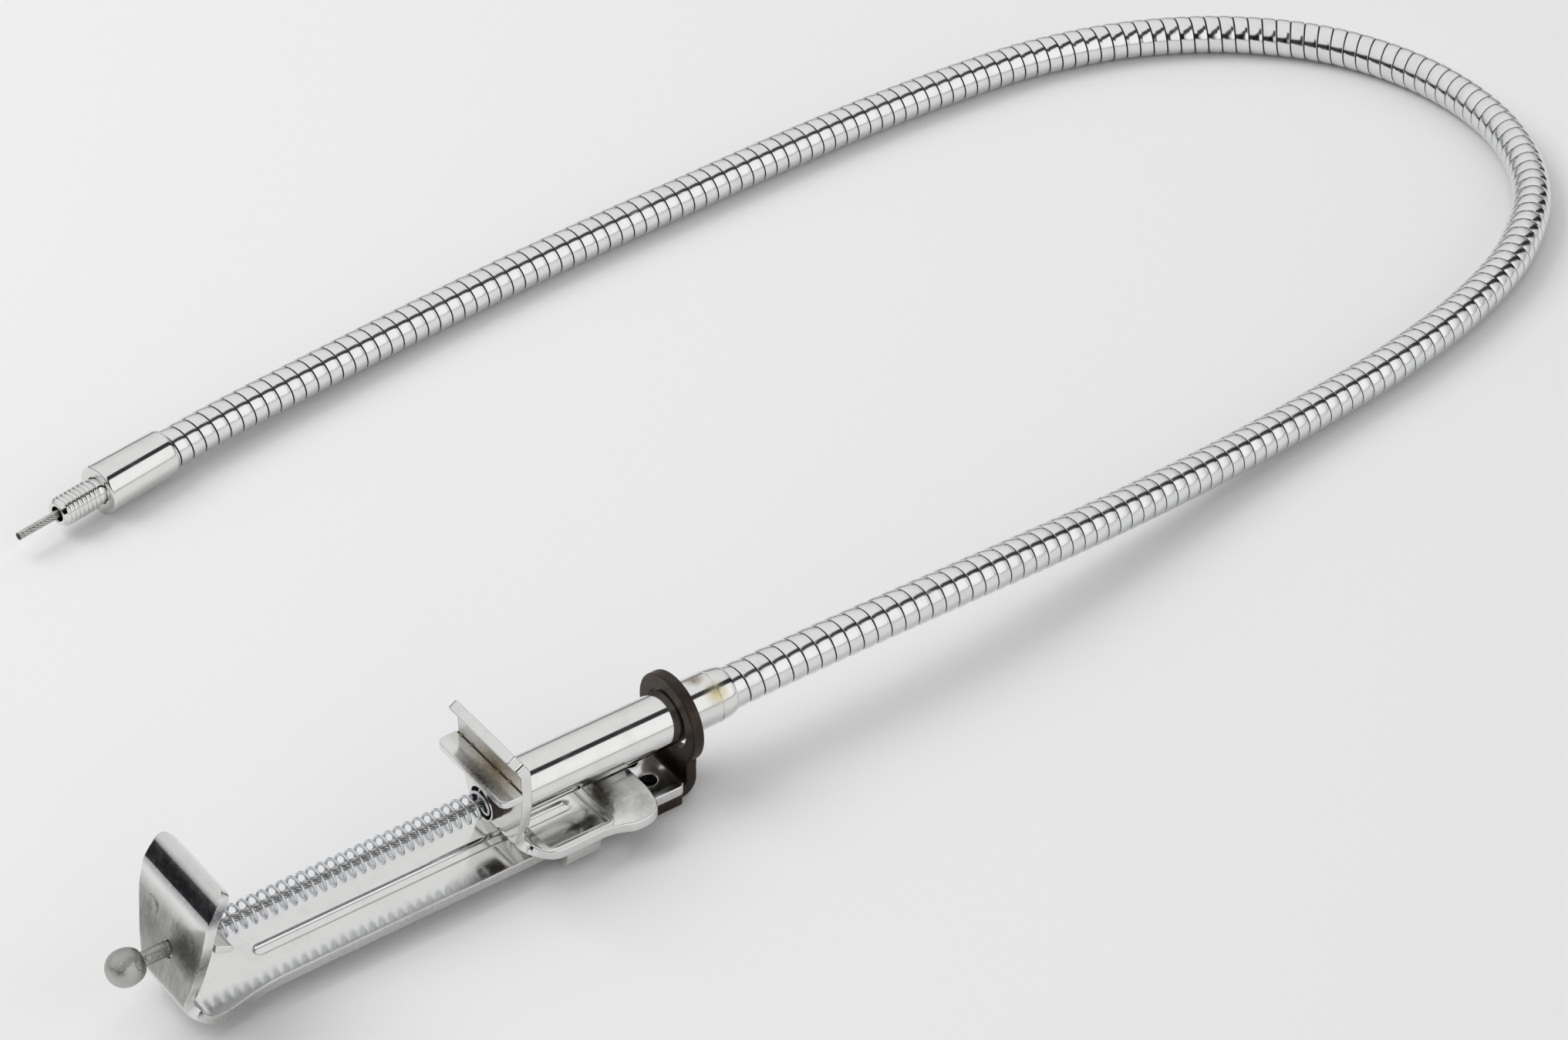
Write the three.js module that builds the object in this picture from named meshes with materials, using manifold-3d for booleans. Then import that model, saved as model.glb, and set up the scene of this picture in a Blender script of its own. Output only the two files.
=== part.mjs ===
// Flexible cable head of a remote spring-clamp tool: a sprung sliding jaw on a flat rail, a fixed jaw
// welded to a guide tube, and an armoured hose that carries the pull cable to a threaded fitting.
// Millimetres, +Z up. +X runs along the head from the sliding jaw towards the hose. The head is
// symmetric about its XZ plane, but for the ends of the fixed jaw's lip. The parts are drawn about the
// fixed jaw's plate at table level, and the finished group is moved so that the origin is under the
// middle of the head.
import * as THREE from "three";
import { mergeVertices } from "three/addons/utils/BufferGeometryUtils.js";
import Module from "manifold-3d";

const wasm = await Module();
wasm.setup();

// ---- driving dimensions ----
const GAP = 0.3; // left between neighbours that touch or are welded on the real object
const AXIS_Z = 14.2; // height of the tube, spring and cable axis over the table

const FOOT_THICK = 2.2; // black guide bracket, stamped
const RAIL_THICK = 2.1;
const RAIL_BOTTOM = 2.85;
const RAIL_HALF = 7.9;
const RAIL_END_X = 33.7;
const JAW_TOP_HALF = 10.1;
const JAW_TOP_Z = 30.4;
const JAW_LEAN = THREE.MathUtils.degToRad(11.7);
const RAIL_TOP = RAIL_BOTTOM + RAIL_THICK;

const BASE_THICK = 2; // fixed jaw bracket, stamped
const BASE_BOTTOM = RAIL_TOP + GAP;
const BASE_TOP = BASE_BOTTOM + BASE_THICK;

const TUBE_R = 5;
const TUBE_BORE_R = 4.2;
const TUBE_START_X = BASE_THICK / 2 + GAP;
const TUBE_END_X = 47.8;
const CRIMP_LENGTH = 3.6;
const SADDLE_TOP = AXIS_Z - TUBE_R - GAP;

const BALL_R = 3.3;
const BALL_X = -72.5;
const BALL_LIFT = 0.2; // over the cable's axis
const SHANK_R = 1.35;
const CABLE_R = 0.8;

const SPRING_R = 2.9; // outside
const SPRING_WIRE = 0.56;
const SPRING_CURLS = 28;
const SPRING_START_X = -61.4;
const SPRING_SEAT_X = 3;

const HOSE_R = 4;
const HOSE_BORE_R = 2.6;
const RIB_COUNT = 193;
const RIB_GROOVE = 0.4; // how deep the groove between two ribs is
const FITTING_AZIMUTH = THREE.MathUtils.degToRad(10.8);
const FITTING_REAR = new THREE.Vector3(8.7, 128.6, 5);
const SLEEVE_R = 5;
const SLEEVE_LENGTH = 16.9;
const THREAD_R = 3;
const THREAD_PITCH = 1;
const THREAD_COUNT = 8;
const NIPPLE_LENGTH = 9.9; // in front of the sleeve
const TAIL_OUT = 9.2; // cable in front of the nipple
const TAIL_INSIDE = 23; // straight cable kept inside the hose, behind the sleeve

// Points of the hose's middle line where it lies, from the guide tube to the fitting.
const HOSE_ROUTE = [
  [46, 0, AXIS_Z], [58, 0, AXIS_Z], [70, 0, 14.1], [85, 0.1, 13.7], [105, 0.9, 12.4],
  [126, 2.6, 10.2], [148, 5, 7.8], [171, 7.9, 5.6], [196, 11, 4.3], [219, 14.1, 4],
  [242, 19.3, 4], [263, 27.8, 4], [280.6, 41.8, 4], [291, 61, 4], [292.8, 83.8, 4],
  [285.6, 105.7, 4], [271.2, 122.8, 4], [251.3, 135.1, 4], [229.5, 141.6, 4], [206.5, 143.9, 4],
  [184, 144.4, 4], [160.6, 143.8, 4], [138.4, 142.7, 4], [115.1, 141.5, 4], [92, 139.8, 4],
  [66, 137, 4.2], [40, 133.4, 4.7], [22, 130.8, 5],
];
const HOSE_IN_TUBE = 11; // hose pushed into the guide tube
const HOSE_IN_SLEEVE = 8;

// ---- solids ----
function toSolid(geometry) {
  const bare = geometry.clone();
  bare.deleteAttribute("normal");
  bare.deleteAttribute("uv");
  const merged = mergeVertices(bare, 1e-4);
  return new wasm.Manifold(new wasm.Mesh({
    numProp: 3,
    vertProperties: new Float32Array(merged.attributes.position.array),
    triVerts: new Uint32Array(merged.index.array),
  }));
}

function toGeometry(solid) {
  const mesh = solid.getMesh();
  const geometry = new THREE.BufferGeometry();
  const places = new Float32Array(mesh.numVert * 3);
  for (let i = 0; i < mesh.numVert; i += 1) {
    for (let k = 0; k < 3; k += 1) places[i * 3 + k] = mesh.vertProperties[i * mesh.numProp + k];
  }
  geometry.setAttribute("position", new THREE.BufferAttribute(places, 3));
  geometry.setIndex(new THREE.BufferAttribute(new Uint32Array(mesh.triVerts), 1));
  geometry.computeVertexNormals();
  return geometry;
}

function shapeOf(points) {
  return new THREE.Shape(points.map(([a, b]) => new THREE.Vector2(a, b)));
}

// A plan outline (x, y) made solid between two heights.
function prismUp(points, low, high) {
  const geometry = new THREE.ExtrudeGeometry(shapeOf(points), { depth: high - low, bevelEnabled: false });
  return toSolid(geometry.translate(0, 0, low));
}

// A side outline (x, z) made solid across the head, from y = -half to y = half.
function prismAcross(points, half) {
  const geometry = new THREE.ExtrudeGeometry(shapeOf(points), { depth: 2 * half, bevelEnabled: false });
  return toSolid(geometry.rotateX(Math.PI / 2).translate(0, half, 0));
}

// A front outline (y, z) made solid along the head, from x = start to x = end.
function prismAlong(points, start, end) {
  const geometry = new THREE.ExtrudeGeometry(shapeOf(points), { depth: end - start, bevelEnabled: false });
  return toSolid(geometry.rotateX(Math.PI / 2).rotateZ(Math.PI / 2).translate(start, 0, 0));
}

// A profile of [x, radius] points turned about the X axis.
function turned(profile, sides) {
  const points = profile.map(([x, r]) => new THREE.Vector2(r, x));
  const geometry = new THREE.LatheGeometry(points, sides);
  return geometry.rotateZ(-Math.PI / 2);
}

function rodAlong(start, end, radius, y, z, sides = 24) {
  const geometry = new THREE.CylinderGeometry(radius, radius, end - start, sides);
  return toSolid(geometry.rotateZ(Math.PI / 2).translate((start + end) / 2, y, z));
}

function rodUp(low, high, radius, x, y, sides = 24) {
  const geometry = new THREE.CylinderGeometry(radius, radius, high - low, sides);
  return toSolid(geometry.rotateX(Math.PI / 2).translate(x, y, (low + high) / 2));
}

// A broken line with a rounded bend at each inner corner.
function bentLine(corners, radii, turnStep = 0.2) {
  const line = [corners[0]];
  for (let i = 1; i < corners.length - 1; i += 1) {
    const here = new THREE.Vector2(...corners[i]);
    const back = new THREE.Vector2(...corners[i - 1]).sub(here).normalize();
    const ahead = new THREE.Vector2(...corners[i + 1]).sub(here).normalize();
    const opening = Math.acos(THREE.MathUtils.clamp(back.dot(ahead), -1, 1));
    const radius = radii[i - 1];
    const bisector = back.clone().add(ahead).normalize();
    const centre = here.clone().addScaledVector(bisector, radius / Math.sin(opening / 2));
    const first = here.clone().addScaledVector(back, radius / Math.tan(opening / 2)).sub(centre);
    const last = here.clone().addScaledVector(ahead, radius / Math.tan(opening / 2)).sub(centre);
    let sweep = last.angle() - first.angle();
    if (sweep > Math.PI) sweep -= 2 * Math.PI;
    if (sweep < -Math.PI) sweep += 2 * Math.PI;
    const steps = Math.max(2, Math.ceil(Math.abs(sweep) / turnStep));
    for (let k = 0; k <= steps; k += 1) {
      const spoke = first.clone().rotateAround(new THREE.Vector2(), (sweep * k) / steps);
      line.push([centre.x + spoke.x, centre.y + spoke.y]);
    }
  }
  line.push(corners[corners.length - 1]);
  return line;
}

// The outline of sheet metal of one thickness that follows a middle line.
function sheetOutline(line, thickness) {
  const sides = [[], []];
  line.forEach((point, i) => {
    const before = line[Math.max(i - 1, 0)];
    const after = line[Math.min(i + 1, line.length - 1)];
    const a = new THREE.Vector2(point[0] - before[0], point[1] - before[1]);
    const b = new THREE.Vector2(after[0] - point[0], after[1] - point[1]);
    if (a.length() === 0) a.copy(b);
    if (b.length() === 0) b.copy(a);
    const along = a.normalize().add(b.normalize()).normalize();
    const reach = thickness / 2 / Math.max(0.5, along.dot(b));
    sides[0].push([point[0] - along.y * reach, point[1] + along.x * reach]);
    sides[1].push([point[0] + along.y * reach, point[1] - along.x * reach]);
  });
  return sides[0].concat(sides[1].reverse());
}

function mirroredOutline(half) {
  return half.concat(half.map(([x, y]) => [x, -y]).reverse());
}

// A long outline with round ends, between two points of the X axis.
function pill(start, end, radius, steps = 10) {
  const outline = [];
  for (let k = 0; k <= steps; k += 1) {
    const angle = Math.PI / 2 + (Math.PI * k) / steps;
    outline.push([start + radius + radius * Math.cos(angle), radius * Math.sin(angle)]);
  }
  for (let k = 0; k <= steps; k += 1) {
    const angle = -Math.PI / 2 + (Math.PI * k) / steps;
    outline.push([end - radius + radius * Math.cos(angle), radius * Math.sin(angle)]);
  }
  return outline;
}

// What is cut away to round a sheet's corner at (y, z), away from the sheet's middle.
function cornerCutter(side, half, top, radius, start, end) {
  const steps = 6;
  const outline = [[side * (half + 1), top + 1], [side * (half - radius), top + 1]];
  for (let k = 0; k <= steps; k += 1) {
    const angle = Math.PI / 2 - (Math.PI / 2) * (k / steps);
    outline.push([
      side * (half - radius + radius * Math.cos(angle)),
      top - radius + radius * Math.sin(angle),
    ]);
  }
  outline.push([side * (half + 1), top - radius]);
  return prismAlong(outline, start, end);
}

const object = new THREE.Group();

function finish(color, roughness, metalness = 1) {
  return new THREE.MeshStandardMaterial({ color, roughness, metalness });
}

const finishes = {
  chrome: finish(0xd6d7d8, 0.14),
  hoseSteel: finish(0xcfd1d3, 0.2),
  zincWire: finish(0xaab3bb, 0.28),
  zincCasting: finish(0x8d8f8d, 0.55),
  strandSteel: finish(0x9a9c98, 0.4),
  blackOxide: finish(0x2e2724, 0.5, 0.6),
};

function addPart(name, geometry, material) {
  const mesh = new THREE.Mesh(geometry, material);
  mesh.name = name;
  object.add(mesh);
  return mesh;
}

// ---- sliding carriage ----
const RAIL_MID_Z = RAIL_BOTTOM + RAIL_THICK / 2;
const LEAN_FOOT = [-64.87, 8.1]; // a point of the leaning jaw just over its bend, on the sheet's middle
const JAW_KNEE = [-62.35, 20.3];
const JAW_LIP_FOOT = [-61, 25.3];
const JAW_LIP_CURL = [-59.3, 28.3];
const JAW_LIP_END = [-57.5, 29.7];
const HALF_SHEET_ACROSS = RAIL_THICK / 2 / Math.cos(JAW_LEAN);

function jawInnerX(z) {
  return LEAN_FOOT[0] + (z - LEAN_FOOT[1]) * Math.tan(JAW_LEAN) + HALF_SHEET_ACROSS;
}

function jawOuterX(z) {
  return jawInnerX(z) - 2 * HALF_SHEET_ACROSS;
}

const GROOVE = { start: -49.5, end: 15.5, radius: 1.6, depth: 0.6 };
const RAIL_HOLE = { x: 29.1, y: 3, radius: 1.6 };
const RIVET_Y = 5.6;
const RIVET_Z = 19.3;
const RIVET_R = 1.2;

// Lays a turned piece, drawn about the origin, square through the leaning jaw.
function onJaw(geometry, side) {
  const middleX = (jawInnerX(RIVET_Z) + jawOuterX(RIVET_Z)) / 2;
  return geometry.rotateY(JAW_LEAN).translate(middleX, side * RIVET_Y, RIVET_Z);
}

// Half of the stamping's width: flat rail with a flare in front, and a jaw that widens upwards.
const RAIL_FLARE = [
  [-75, 6.95], [-64.8, 7], [-63.9, 7.6], [-63.1, 8.6], [-62.3, 9.25], [-61.2, 9.65], [-60.2, 9.75],
  [-58.8, 9.6], [-57.2, 9.3], [-55.5, 8.95], [-53.2, 8.5], [-51, 8.15], [-49, 7.95],
  [-47, RAIL_HALF], [RAIL_END_X - 1, RAIL_HALF], [RAIL_END_X + 0.5, RAIL_HALF - 1],
];
const JAW_SIDES = [
  [6.95, 7.4], [7.1, 8.1], [7.8, 9.7], [8.5, 11.7], [9.1, 14], [9.5, 16], [9.95, 18], [10.3, 20.2],
  [10.45, 22.2], [10.5, 24.2], [10.4, 26.6], [JAW_TOP_HALF, 29], [JAW_TOP_HALF, JAW_TOP_Z + 2],
];

function mirroredFront(half) {
  return half.concat(half.map(([y, z]) => [-y, z]).reverse());
}

function jawRail() {
  const cornerX = LEAN_FOOT[0] - (LEAN_FOOT[1] - RAIL_MID_Z) * Math.tan(JAW_LEAN);
  const corners = [
    [RAIL_END_X, RAIL_MID_Z], [cornerX, RAIL_MID_Z],
    JAW_KNEE, JAW_LIP_FOOT, JAW_LIP_CURL, JAW_LIP_END,
  ];
  const middle = bentLine(corners, [3.2, 6, 6, 4]);
  const sheet = prismAcross(sheetOutline(middle, RAIL_THICK), JAW_TOP_HALF + 2);
  const low = prismUp(mirroredOutline(RAIL_FLARE), -1, 7.6);
  const high = prismAlong(mirroredFront(JAW_SIDES), -75, -50);
  const underJaw = prismUp(mirroredOutline([[-80, 20], [0, 20]]), -1, 7.5);
  let rail = sheet.intersect(low.add(high.subtract(underJaw)));
  for (const side of [-1, 1]) {
    rail = rail.subtract(cornerCutter(side, JAW_TOP_HALF, JAW_TOP_Z, 2, -70, -50));
    rail = rail.subtract(rodUp(0, 8, RAIL_HOLE.radius, RAIL_HOLE.x, side * RAIL_HOLE.y));
    const drill = turned([[-5, 0], [-5, RIVET_R + GAP], [5, RIVET_R + GAP], [5, 0]], 16);
    rail = rail.subtract(toSolid(onJaw(drill, side)));
  }
  const pressed = prismUp(pill(GROOVE.start, GROOVE.end, GROOVE.radius),
    RAIL_BOTTOM - GROOVE.depth, RAIL_BOTTOM + 0.5);
  const hollow = prismUp(pill(GROOVE.start, GROOVE.end, GROOVE.radius),
    RAIL_TOP - GROOVE.depth, RAIL_TOP + 1);
  rail = rail.add(pressed).subtract(hollow);
  return rail.subtract(rodAlong(-72, -58, SHANK_R + 0.35, 0, AXIS_Z));
}

const LEDGE = {
  reach: 4, thick: 1.6, half: 10, rearHalf: 10.4, frontLow: 18.6, frontDrop: 1.15, rearLow: 20.7,
};

function frontLedge() {
  const low = LEDGE.frontLow;
  const high = low + LEDGE.thick;
  const tip = jawInnerX(low) + LEDGE.reach;
  const drop = LEDGE.frontDrop;
  const side = [
    [jawInnerX(low) + GAP, low], [tip - 0.3, low - drop], [tip, low - drop + 0.3],
    [tip + 0.1, high - drop - 0.8], [tip - 0.2, high - drop - 0.25], [tip - 0.9, high - drop + 0.15],
    [jawInnerX(high) + GAP, high],
  ];
  return prismAcross(side, LEDGE.half);
}

function ledgeRivet(side) {
  const face = -RAIL_THICK / 2 - GAP;
  const profile = [
    [face - 0.5, 0], [face - 0.45, 1], [face - 0.2, 1.55], [face, 1.6],
    [face, RIVET_R], [RAIL_THICK / 2, RIVET_R], [RAIL_THICK / 2, 0],
  ];
  return onJaw(turned(profile, 16), side);
}

// The black bracket: a foot under the rail's end, a waist and an eye that runs round the tube.
const EYE = { frontX: 35.3, radius: 8.5, centreZ: 13.8, hole: 5.8, waistHalf: 5.9, footHalf: 7.3 };
const FOOT = { frontX: 21, rearX: 33.8 };

function guideBracket() {
  const upX = EYE.frontX + FOOT_THICK / 2;
  const middle = bentLine([[FOOT.frontX, FOOT_THICK / 2], [upX, FOOT_THICK / 2], [upX, 26]], [2.4]);
  const sheet = prismAcross(sheetOutline(middle, FOOT_THICK), 10);
  const outline = [];
  for (let k = 0; k <= 28; k += 1) {
    const angle = THREE.MathUtils.degToRad(-44 + (268 * k) / 28);
    outline.push([EYE.radius * Math.cos(angle), EYE.centreZ + EYE.radius * Math.sin(angle)]);
  }
  const waist = [[-EYE.waistHalf, 7.4], [-EYE.waistHalf, -1]];
  const front = prismAlong(
    [...outline, ...waist, ...waist.map(([y, z]) => [-y, z]).reverse()], FOOT.rearX, 40,
  );
  const plan = prismUp(mirroredOutline([
    [FOOT.frontX, EYE.footHalf - 1.5], [FOOT.frontX + 1.5, EYE.footHalf], [FOOT.rearX - 0.4, EYE.footHalf],
    [FOOT.rearX + 0.1, EYE.waistHalf],
  ]), -1, 5);
  const hole = rodAlong(30, 42, EYE.hole, 0, EYE.centreZ, 40);
  return sheet.intersect(front.add(plan)).subtract(hole);
}

// ---- pull cable ----
function ballTerminal() {
  const profile = [[BALL_X - BALL_R, 0]];
  const neckAngle = Math.PI - Math.asin(SHANK_R / BALL_R);
  for (let k = 1; k <= 12; k += 1) {
    const angle = (neckAngle * k) / 12;
    profile.push([BALL_X - BALL_R * Math.cos(angle), BALL_R * Math.sin(angle)]);
  }
  const shankEnd = -62;
  profile.push([shankEnd, SHANK_R], [shankEnd, 0]);
  return turned(profile, 24).translate(0, 0, AXIS_Z + BALL_LIFT);
}

const FRONT_CABLE = { start: -61.7, end: 8 };

function frontCable() {
  const { start, end } = FRONT_CABLE;
  return turned([[start, 0], [start, CABLE_R], [end, CABLE_R], [end, 0]], 12).translate(0, 0, AXIS_Z);
}

// ---- fixed head ----
const UPRIGHT_TOP_Z = 30.1;
const LIP = { nearY: -8.9, farY: 10.2 }; // the lip ends short of the near corner, behind a small notch
const BRACKET = {
  armHalf: 11.5, windowHalf: 10.2, windowStart: 4.2, windowEnd: 17, wingHalf: 13, endX: 25.6,
};
const MOUTH_R = 6.4;

function jawBracket() {
  const baseMid = (BASE_BOTTOM + BASE_TOP) / 2;
  const saddleMid = SADDLE_TOP - BASE_THICK / 2;
  const lipEnd = [-2.2, UPRIGHT_TOP_Z - 0.6];
  const middle = bentLine(
    [[BRACKET.endX, saddleMid], [18.8, saddleMid], [16.6, baseMid], [0, baseMid], [0, 25.8], lipEnd],
    [1.6, 1.6, 3, 2],
  );
  const sheet = prismAcross(sheetOutline(middle, BASE_THICK), 14);

  const farSide = [[7, 3], [7.1, 8.6], [7.9, 11], [8.9, 14.2], [9.6, 17], [9.9, 19], [9.9, 26.8],
    [LIP.farY, 27.3], [LIP.farY, UPRIGHT_TOP_Z + 2]];
  const nearSide = [[LIP.nearY, UPRIGHT_TOP_Z + 2], [LIP.nearY, 27.9], [LIP.nearY - 0.5, 27.4], [-9.9, 27.3],
    [-9.9, 19], [-9.6, 17], [-8.9, 14.2], [-7.9, 11], [-7.1, 8.6], [-7, 3]];
  const upright = sheet.intersect(prismAlong([...farSide, ...nearSide], -6, 1.6));

  const side = [[1.5, 8], [2.6, 9.6], [4, 10.9], [5.6, BRACKET.armHalf], [14.2, BRACKET.armHalf]];
  const swell = [];
  for (let k = 1; k <= 10; k += 1) {
    const share = k / 10;
    const ease = (1 - Math.cos(Math.PI * share)) / 2;
    swell.push([14.2 + 6.6 * share, BRACKET.armHalf + (BRACKET.wingHalf - BRACKET.armHalf) * ease]);
  }
  const wingCorner = [[23, 12.9], [24.6, 12.3], [25.4, 11.4], [26.5, 11]];
  const plan = prismUp(mirroredOutline([...side, ...swell, ...wingCorner]), 0, 12);
  const wingLine = bentLine(
    [[-14, baseMid - 0.7], [-8.2, saddleMid], [8.2, saddleMid], [14, baseMid - 0.7]], [2.5, 2.5],
  );
  const wings = prismAlong(sheetOutline(wingLine, BASE_THICK).reverse(), 18.6, BRACKET.endX);
  const arms = prismUp(mirroredOutline([[2.9, 14], [20, 14]]), BASE_BOTTOM, BASE_TOP);
  const flatArms = arms.subtract(prismUp(mirroredOutline([[2, 9], [21, 9]]), 0, 12));
  const stepped = sheet.intersect(prismUp(mirroredOutline([[1.5, 9.5], [18.7, 9.5]]), 0, 12));
  const corner = sheet.intersect(prismUp(mirroredOutline([[1.5, 14], [6, 14]]), 0, 12));
  let base = stepped.add(flatArms).add(corner).add(wings).intersect(plan);

  const window = [];
  const windowCorners = [
    [BRACKET.windowEnd, 1, 0], [BRACKET.windowStart, 1, 1],
    [BRACKET.windowStart, -1, 2], [BRACKET.windowEnd, -1, 3],
  ];
  for (const [x, y, from] of windowCorners) {
    const inward = x === BRACKET.windowEnd ? -1 : 1;
    for (let k = 0; k <= 4; k += 1) {
      const angle = (Math.PI / 2) * (from + k / 4);
      window.push([
        x + inward * 1.4 + 1.4 * Math.cos(angle),
        y * (BRACKET.windowHalf - 1.4) + 1.4 * Math.sin(angle),
      ]);
    }
  }
  base = base.subtract(prismUp(window, BASE_BOTTOM - 2, BASE_TOP + 0.9));

  let bracket = upright.add(base);
  for (const sign of [-1, 1]) {
    const tab = [
      [11.5, BASE_BOTTOM + 0.6], [10.9, 3.6], [10.2, 1.85], [9.4, 1.25], [6, 1.25], [6, 2.4],
      [8.25, 2.4], [8.25, BASE_BOTTOM - 0.1], [10.3, BASE_BOTTOM + 0.8], [11.3, BASE_BOTTOM + 0.8],
    ].map(([y, z]) => [sign * y, z]);
    bracket = bracket.add(prismAlong(sign > 0 ? tab.reverse() : tab, 6.9, 13.8));
  }
  bracket = bracket.subtract(cornerCutter(1, LIP.farY, UPRIGHT_TOP_Z, 1.4, -8, 3));
  bracket = bracket.subtract(cornerCutter(-1, -LIP.nearY, UPRIGHT_TOP_Z, 0.8, -8, 3));
  return bracket.subtract(rodAlong(-6, 6, MOUTH_R, 0, AXIS_Z, 40));
}

function rearLedge() {
  const face = -BASE_THICK / 2 - GAP;
  const tip = -BASE_THICK / 2 - LEDGE.reach - 0.2;
  const plan = mirroredOutline([
    [tip, LEDGE.rearHalf - 1.5], [tip + 0.44, LEDGE.rearHalf - 0.44], [tip + 1.5, LEDGE.rearHalf],
    [face, LEDGE.rearHalf],
  ]);
  return prismUp(plan, LEDGE.rearLow, LEDGE.rearLow + LEDGE.thick);
}

function guideTube() {
  const roll = TUBE_END_X - CRIMP_LENGTH;
  const profile = [
    [TUBE_START_X, TUBE_R], [EYE.frontX + 3, TUBE_R], [EYE.frontX + 5, TUBE_R - 0.1], [roll, TUBE_R - 0.12],
    [roll + 1.3, TUBE_R - 0.2], [roll + 2.5, TUBE_R - 0.4], [TUBE_END_X, TUBE_R - 0.65],
    [TUBE_END_X, TUBE_BORE_R], [TUBE_START_X, TUBE_BORE_R],
    [TUBE_START_X, TUBE_R],
  ];
  return turned(profile, 40).translate(0, 0, AXIS_Z);
}

const BUSH = {
  noseX: -3.2, noseR: 3.5, flangeR: 6.1, bodyR: 3.9, endX: 6.5, cableR: 1.2, boreR: 3.1,
};

function springBush() {
  const profile = [
    [BUSH.noseX, BUSH.boreR], [BUSH.noseX, BUSH.noseR], [-0.8, BUSH.noseR], [-0.8, BUSH.flangeR],
    [BASE_THICK / 2, BUSH.flangeR], [BASE_THICK / 2, BUSH.bodyR], [BUSH.endX, BUSH.bodyR],
    [BUSH.endX, BUSH.cableR], [SPRING_SEAT_X, BUSH.cableR], [SPRING_SEAT_X, BUSH.boreR],
    [BUSH.noseX, BUSH.boreR],
  ];
  return turned(profile, 32).translate(0, 0, AXIS_Z);
}

// ---- tubes that follow a line ----
// Rings of a few points each, joined side to side, with both ends closed flat.
function ringsGeometry(rings, closeEnds = true) {
  const count = rings[0].length;
  const places = rings.flat().flatMap((p) => [p.x, p.y, p.z]);
  const faces = [];
  for (let i = 0; i < rings.length - 1; i += 1) {
    for (let k = 0; k < count; k += 1) {
      const a = i * count + k;
      const b = i * count + ((k + 1) % count);
      faces.push(a, b, b + count, a, b + count, a + count);
    }
  }
  if (closeEnds) {
    const last = (rings.length - 1) * count;
    for (let k = 1; k < count - 1; k += 1) {
      faces.push(0, k + 1, k, last, last + k, last + k + 1);
    }
  }
  const geometry = new THREE.BufferGeometry();
  geometry.setAttribute("position", new THREE.Float32BufferAttribute(places, 3));
  geometry.setIndex(faces);
  return geometry;
}

function ringAt(centre, across, up, radius, count) {
  return Array.from({ length: count }, (unused, k) => {
    const angle = (2 * Math.PI * k) / count;
    return centre.clone()
      .addScaledVector(across, radius * Math.cos(angle))
      .addScaledVector(up, radius * Math.sin(angle));
  });
}

function compressionSpring() {
  const coilR = SPRING_R - SPRING_WIRE / 2;
  const start = SPRING_START_X;
  const end = SPRING_SEAT_X - GAP;
  const run = end - start - 2 * SPRING_WIRE;
  const steps = SPRING_CURLS * 8;
  const centres = [new THREE.Vector3(start, 0, AXIS_Z + coilR)];
  for (let i = 0; i <= steps; i += 1) {
    const angle = (2 * Math.PI * i) / 8;
    centres.push(new THREE.Vector3(
      start + SPRING_WIRE + (run * i) / steps,
      -coilR * Math.sin(angle),
      AXIS_Z + coilR * Math.cos(angle),
    ));
  }
  centres.push(new THREE.Vector3(end, 0, AXIS_Z + coilR));
  const rings = centres.map((centre, i) => {
    const out = new THREE.Vector3(0, centre.y, centre.z - AXIS_Z).normalize();
    const isEnd = i === 0 || i === centres.length - 1;
    const around = new THREE.Vector3(0, -out.z, out.y);
    const along = isEnd
      ? new THREE.Vector3(1, 0, 0)
      : new THREE.Vector3(run / steps, 0, 0).addScaledVector(around, (2 * Math.PI * coilR) / 8).normalize();
    const side = new THREE.Vector3().crossVectors(along, out).normalize();
    return ringAt(centre, out, side, SPRING_WIRE / 2, 5);
  });
  return { geometry: ringsGeometry(rings), centres };
}

function leastGap(centres, diameter, skip) {
  let least = Infinity;
  for (let i = 0; i < centres.length; i += 1) {
    for (let k = i + skip; k < centres.length; k += 1) {
      least = Math.min(least, centres[i].distanceTo(centres[k]) - diameter);
    }
  }
  return least;
}

const fittingOut = new THREE.Vector3(-Math.cos(FITTING_AZIMUTH), -Math.sin(FITTING_AZIMUTH), 0);
const hoseCurve = new THREE.CatmullRomCurve3([
  new THREE.Vector3(TUBE_END_X - HOSE_IN_TUBE, 0, AXIS_Z),
  ...HOSE_ROUTE.map(([x, y, z]) => new THREE.Vector3(x, y, z)),
  FITTING_REAR.clone(),
  FITTING_REAR.clone().addScaledVector(fittingOut, HOSE_IN_SLEEVE),
], false, "centripetal");
hoseCurve.arcLengthDivisions = 2000;

function hoseFrame(share) {
  const centre = hoseCurve.getPointAt(share);
  const along = hoseCurve.getTangentAt(share);
  const across = new THREE.Vector3(0, 0, 1).cross(along).normalize();
  const up = new THREE.Vector3().crossVectors(along, across).normalize();
  return { centre, along, across, up };
}

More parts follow.
